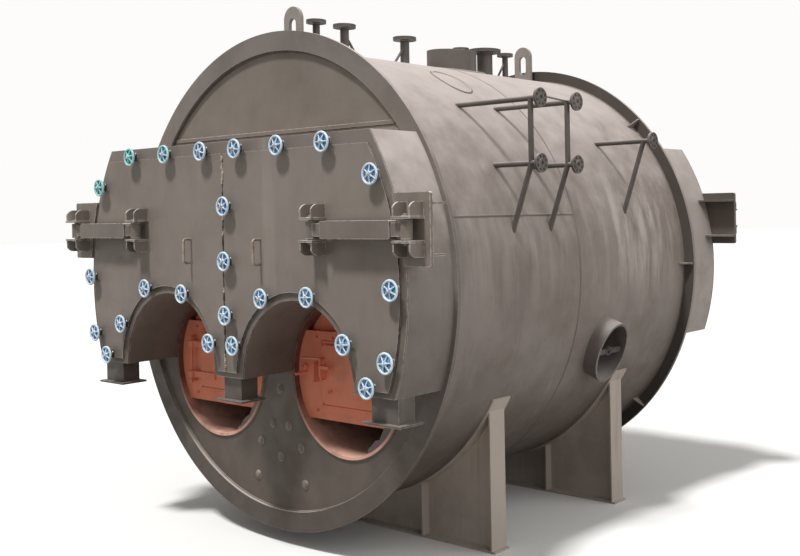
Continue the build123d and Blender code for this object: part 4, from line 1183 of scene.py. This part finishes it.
def make_stage(light):
    """Pale floor, soft lamps and the camera at the photograph's angle."""
    scene = bpy.context.scene
    floor, tree, shader = new_finish("pale_floor")
    tone = blend(tree, seen_by_camera(tree), srgb(132, 129, 125), srgb(240, 239, 237))
    tree.links.new(tone, shader.inputs["Base Color"])
    shader.inputs["Roughness"].default_value = 0.9
    a = np.linspace(0, 2 * np.pi, FLOOR_SIDES, endpoint=False)[:, None]
    r = np.array(FLOOR_RINGS)
    points, faces = grid(xyz(r * np.cos(a), LENGTH / 2 + r * np.sin(a), FLOOR_Z), wrap_u=True)
    points = np.vstack([points, (0, LENGTH / 2, FLOOR_Z)])
    ring = len(FLOOR_RINGS) * np.arange(FLOOR_SIDES)
    faces.append(np.stack([ring, np.full(FLOOR_SIDES, len(points) - 1), np.roll(ring, -1)], -1))
    mesh = bpy.data.meshes.new("floor")
    mesh.from_pydata(points.tolist(), [], [face.tolist() for part in faces for face in part])
    mesh.materials.append(floor)
    item = bpy.data.objects.new("floor", mesh)
    scene.collection.objects.link(item)

    world = bpy.data.worlds.new("studio")
    world.use_nodes = True
    scene.world = world
    tree = world.node_tree
    soft = tree.nodes["Background"]
    way = axes_of(tree, node(tree, "ShaderNodeTexCoord").outputs["Generated"])["Z"]
    sky = blend(tree, threshold(tree, way, -0.4, 0.9), (0.50, 0.48, 0.46, 1.0), (1.0, 0.985, 0.965, 1.0))
    tree.links.new(sky, soft.inputs["Color"])
    soft.inputs["Strength"].default_value = light.sky
    behind = node(tree, "ShaderNodeBackground", {"Color": srgb(253, 252, 250), "Strength": 1.0})
    inputs = {0: seen_by_camera(tree), 1: soft.outputs[0], 2: behind.outputs[0]}
    mix = node(tree, "ShaderNodeMixShader", inputs)
    tree.links.new(mix.outputs[0], tree.nodes["World Output"].inputs["Surface"])

    def sun(name, energy, spread, way):
        lamp = bpy.data.lights.new(name, "SUN")
        lamp.energy = energy
        lamp.angle = math.radians(spread)
        item = bpy.data.objects.new(name, lamp)
        turn = facing(way, (0, 1, 0))
        item.matrix_world = Matrix(turn.tolist()).to_4x4()
        scene.collection.objects.link(item)

    sun("overhead", light.key, SUN_DEG, SUN_WAY)
    sun("side_fill", light.fill, FILL_DEG, FILL_WAY)

    camera = bpy.data.cameras.new("camera")
    camera.sensor_width = 36.0
    camera.lens = CAMERA_FOCUS * camera.sensor_width / FRAME_WIDTH
    camera.shift_x = (FRAME_WIDTH / 2 - CAMERA_CENTRE[0]) / FRAME_WIDTH
    camera.shift_y = (CAMERA_CENTRE[1] - FRAME_HEIGHT / 2) / FRAME_WIDTH
    camera.clip_end = 500
    item = bpy.data.objects.new("camera", camera)
    azimuth, down, tilt = (math.radians(a) for a in (CAMERA_AZIMUTH, CAMERA_DOWN, CAMERA_ROLL))
    level = np.array([math.cos(azimuth), math.sin(azimuth), 0.0])
    ahead = np.array([-math.sin(azimuth), math.cos(azimuth), 0.0])
    forward = ahead * math.cos(down) - np.array([0.0, 0.0, math.sin(down)])
    up = np.cross(level, forward)
    right = math.cos(tilt) * level + math.sin(tilt) * up
    up = np.cross(right, forward)
    turn = np.stack([right, up, -forward], -1)
    item.matrix_world = Matrix.Translation(CAMERA_PLACE) @ Matrix(turn.tolist()).to_4x4()
    scene.collection.objects.link(item)
    scene.camera = item
    scene.view_settings.view_transform = "Standard"


# Settings


def length_setting(name, text, value):
    """A length that can be set."""
    return FloatProperty(name=name, description=text, default=value, unit="LENGTH")


def colour_setting(name, text, *value):
    """A colour that can be set, given as seen on a screen."""
    return FloatVectorProperty(name=name, description=text, default=srgb(*value), size=4, subtype="COLOR")


def strength_setting(name, text, value):
    """Strength of a lamp that can be set."""
    return FloatProperty(name=name, description=text, default=value, min=0.0)


class BoilerSizes(bpy.types.PropertyGroup):
    """Sizes of the fittings that dress the boiler."""
    wheel_radius: length_setting("Wheel radius", "Outer radius of a handwheel", 0.061)
    rim_radius: length_setting("Rim radius", "Radius of the handwheel rim's section", 0.0070)
    spokes: IntProperty(name="Spokes", description="Spokes of a handwheel", default=6, min=3, max=8)
    seam_width: length_setting("Seam width", "Width of the shell's weld seams", 0.016)
    seam_height: length_setting("Seam height", "How far a shell seam stands proud", 0.0028)
    stay_radius: length_setting("Stay end radius", "Radius of a domed stay end", 0.025)


class BoilerColours(bpy.types.PropertyGroup):
    """Colours of the boiler's finishes."""
    primer: colour_setting("Primer", "Grey-brown primer of the shell", 144, 134, 128)
    primer_dark: colour_setting("Dark primer", "Primer where it is stained", 120, 109, 101)
    # the pale tone also paints top light on faces that look up
    primer_pale: colour_setting("Pale primer", "Primer under dust and at edges", 198, 188, 182)
    # written paler than the paint itself, as painted light: the saddle webs sit in shade under the shell
    saddle: colour_setting("Saddle", "Primer of the saddles' web plates", 196, 184, 174)
    # written paler than the paint itself, as painted light: the fire fronts sit in the shade of the arches
    fire_red: colour_setting("Fire front", "Orange-red primer of the fire fronts", 244, 150, 118)
    wheel: colour_setting("Wheels", "Light blue enamel of the handwheels", 214, 234, 246)
    wheel_dark: colour_setting("Wheel dish", "Dark blue between the spokes", 68, 116, 164)


class BoilerLight(bpy.types.PropertyGroup):
    """Levels of the studio light."""
    sky: strength_setting("Sky", "Strength of the soft light from all round", 0.36)
    key: strength_setting("Overhead", "Strength of the overhead lamp", 3.05)
    fill: strength_setting("Side", "Strength of the lamp from the right", 1.0)


# Operators


class BOILER_OT_finishes(bpy.types.Operator):
    """Make the finishes and paint the plates and pipes"""
    bl_idname = "boiler.finishes"
    bl_label = "Finishes"

    def execute(self, context):
        make_finishes(context.scene.boiler_colours)
        paint_nodes()
        return {"FINISHED"}


def piece_operator(key, label, text, maker):
    """An operator class that calls one maker with the boiler's sizes."""
    def execute(self, context):
        maker(context.scene.boiler_sizes)
        return {"FINISHED"}

    members = {"__doc__": text, "bl_idname": "boiler." + key, "bl_label": label, "execute": execute}
    return type("BOILER_OT_" + key, (bpy.types.Operator,), members)


class BOILER_OT_stage(bpy.types.Operator):
    """Set the floor, lamps and camera"""
    bl_idname = "boiler.stage"
    bl_label = "Stage"

    def execute(self, context):
        make_stage(context.scene.boiler_light)
        return {"FINISHED"}


PIECES = (
    ("handwheels", "Handwheels", "Make the handwheel clamps", make_handwheels),
    ("welds", "Welds", "Make the weld seams", make_welds),
    ("lap_strip", "Lap strip", "Make the lap strip over the smokebox", make_lap_strip),
    ("stay_ends", "Stay ends", "Make the domed stay ends", make_stay_ends),
    ("gauge_fittings", "Gauge fittings", "Make the gauge flanges' holes and tie rod", make_gauge_fittings),
    ("nozzle_fittings", "Nozzle fittings", "Make the nozzles' holes and welds", make_nozzle_fittings),
    ("fire_fittings", "Fire front fittings", "Make the fire fronts' trim and latches", make_fire_fittings),
    ("gap_lining", "Gap lining", "Make the sealing rope between the doors", make_gap_lining),
    ("ash_pit_seals", "Ash pit seals", "Make the ragged plates at the ash pits", make_ash_pit_seals),
    ("tube_ends", "Tube ends", "Make the fire-tube ends", make_tube_ends),
    ("hinge_fittings", "Hinge fittings", "Make the washers on the hinge pins", make_hinge_fittings),
)
PIECE_OPERATORS = [piece_operator(*piece) for piece in PIECES]


class BOILER_PT_panel(bpy.types.Panel):
    """Lists the boiler's operators and settings"""
    bl_idname = "BOILER_PT_panel"
    bl_label = "Boiler"
    bl_space_type = "VIEW_3D"
    bl_region_type = "UI"
    bl_category = "Boiler"

    def draw(self, context):
        for operator in OPERATORS:
            self.layout.operator(operator.bl_idname)
        for group in (context.scene.boiler_sizes, context.scene.boiler_colours, context.scene.boiler_light):
            for key in group.bl_rna.properties.keys():
                if key not in ("rna_type", "name"):
                    self.layout.prop(group, key)


OPERATORS = [BOILER_OT_finishes, *PIECE_OPERATORS, BOILER_OT_stage]
CLASSES = [BoilerSizes, BoilerColours, BoilerLight, *OPERATORS, BOILER_PT_panel]


def register():
    """Adds the classes and their settings to the scene."""
    for item in CLASSES:
        bpy.utils.register_class(item)
    bpy.types.Scene.boiler_sizes = PointerProperty(type=BoilerSizes)
    bpy.types.Scene.boiler_colours = PointerProperty(type=BoilerColours)
    bpy.types.Scene.boiler_light = PointerProperty(type=BoilerLight)


def unregister():
    """Removes the settings and the classes."""
    del bpy.types.Scene.boiler_light
    del bpy.types.Scene.boiler_colours
    del bpy.types.Scene.boiler_sizes
    for item in reversed(CLASSES):
        bpy.utils.unregister_class(item)


def main():
    """Builds everything in order and writes the boxes before and after."""
    register()
    for operator in OPERATORS:
        name = operator.bl_idname.split(".")[1]
        getattr(bpy.ops.boiler, name)()


if __name__ == "__main__":
    main()
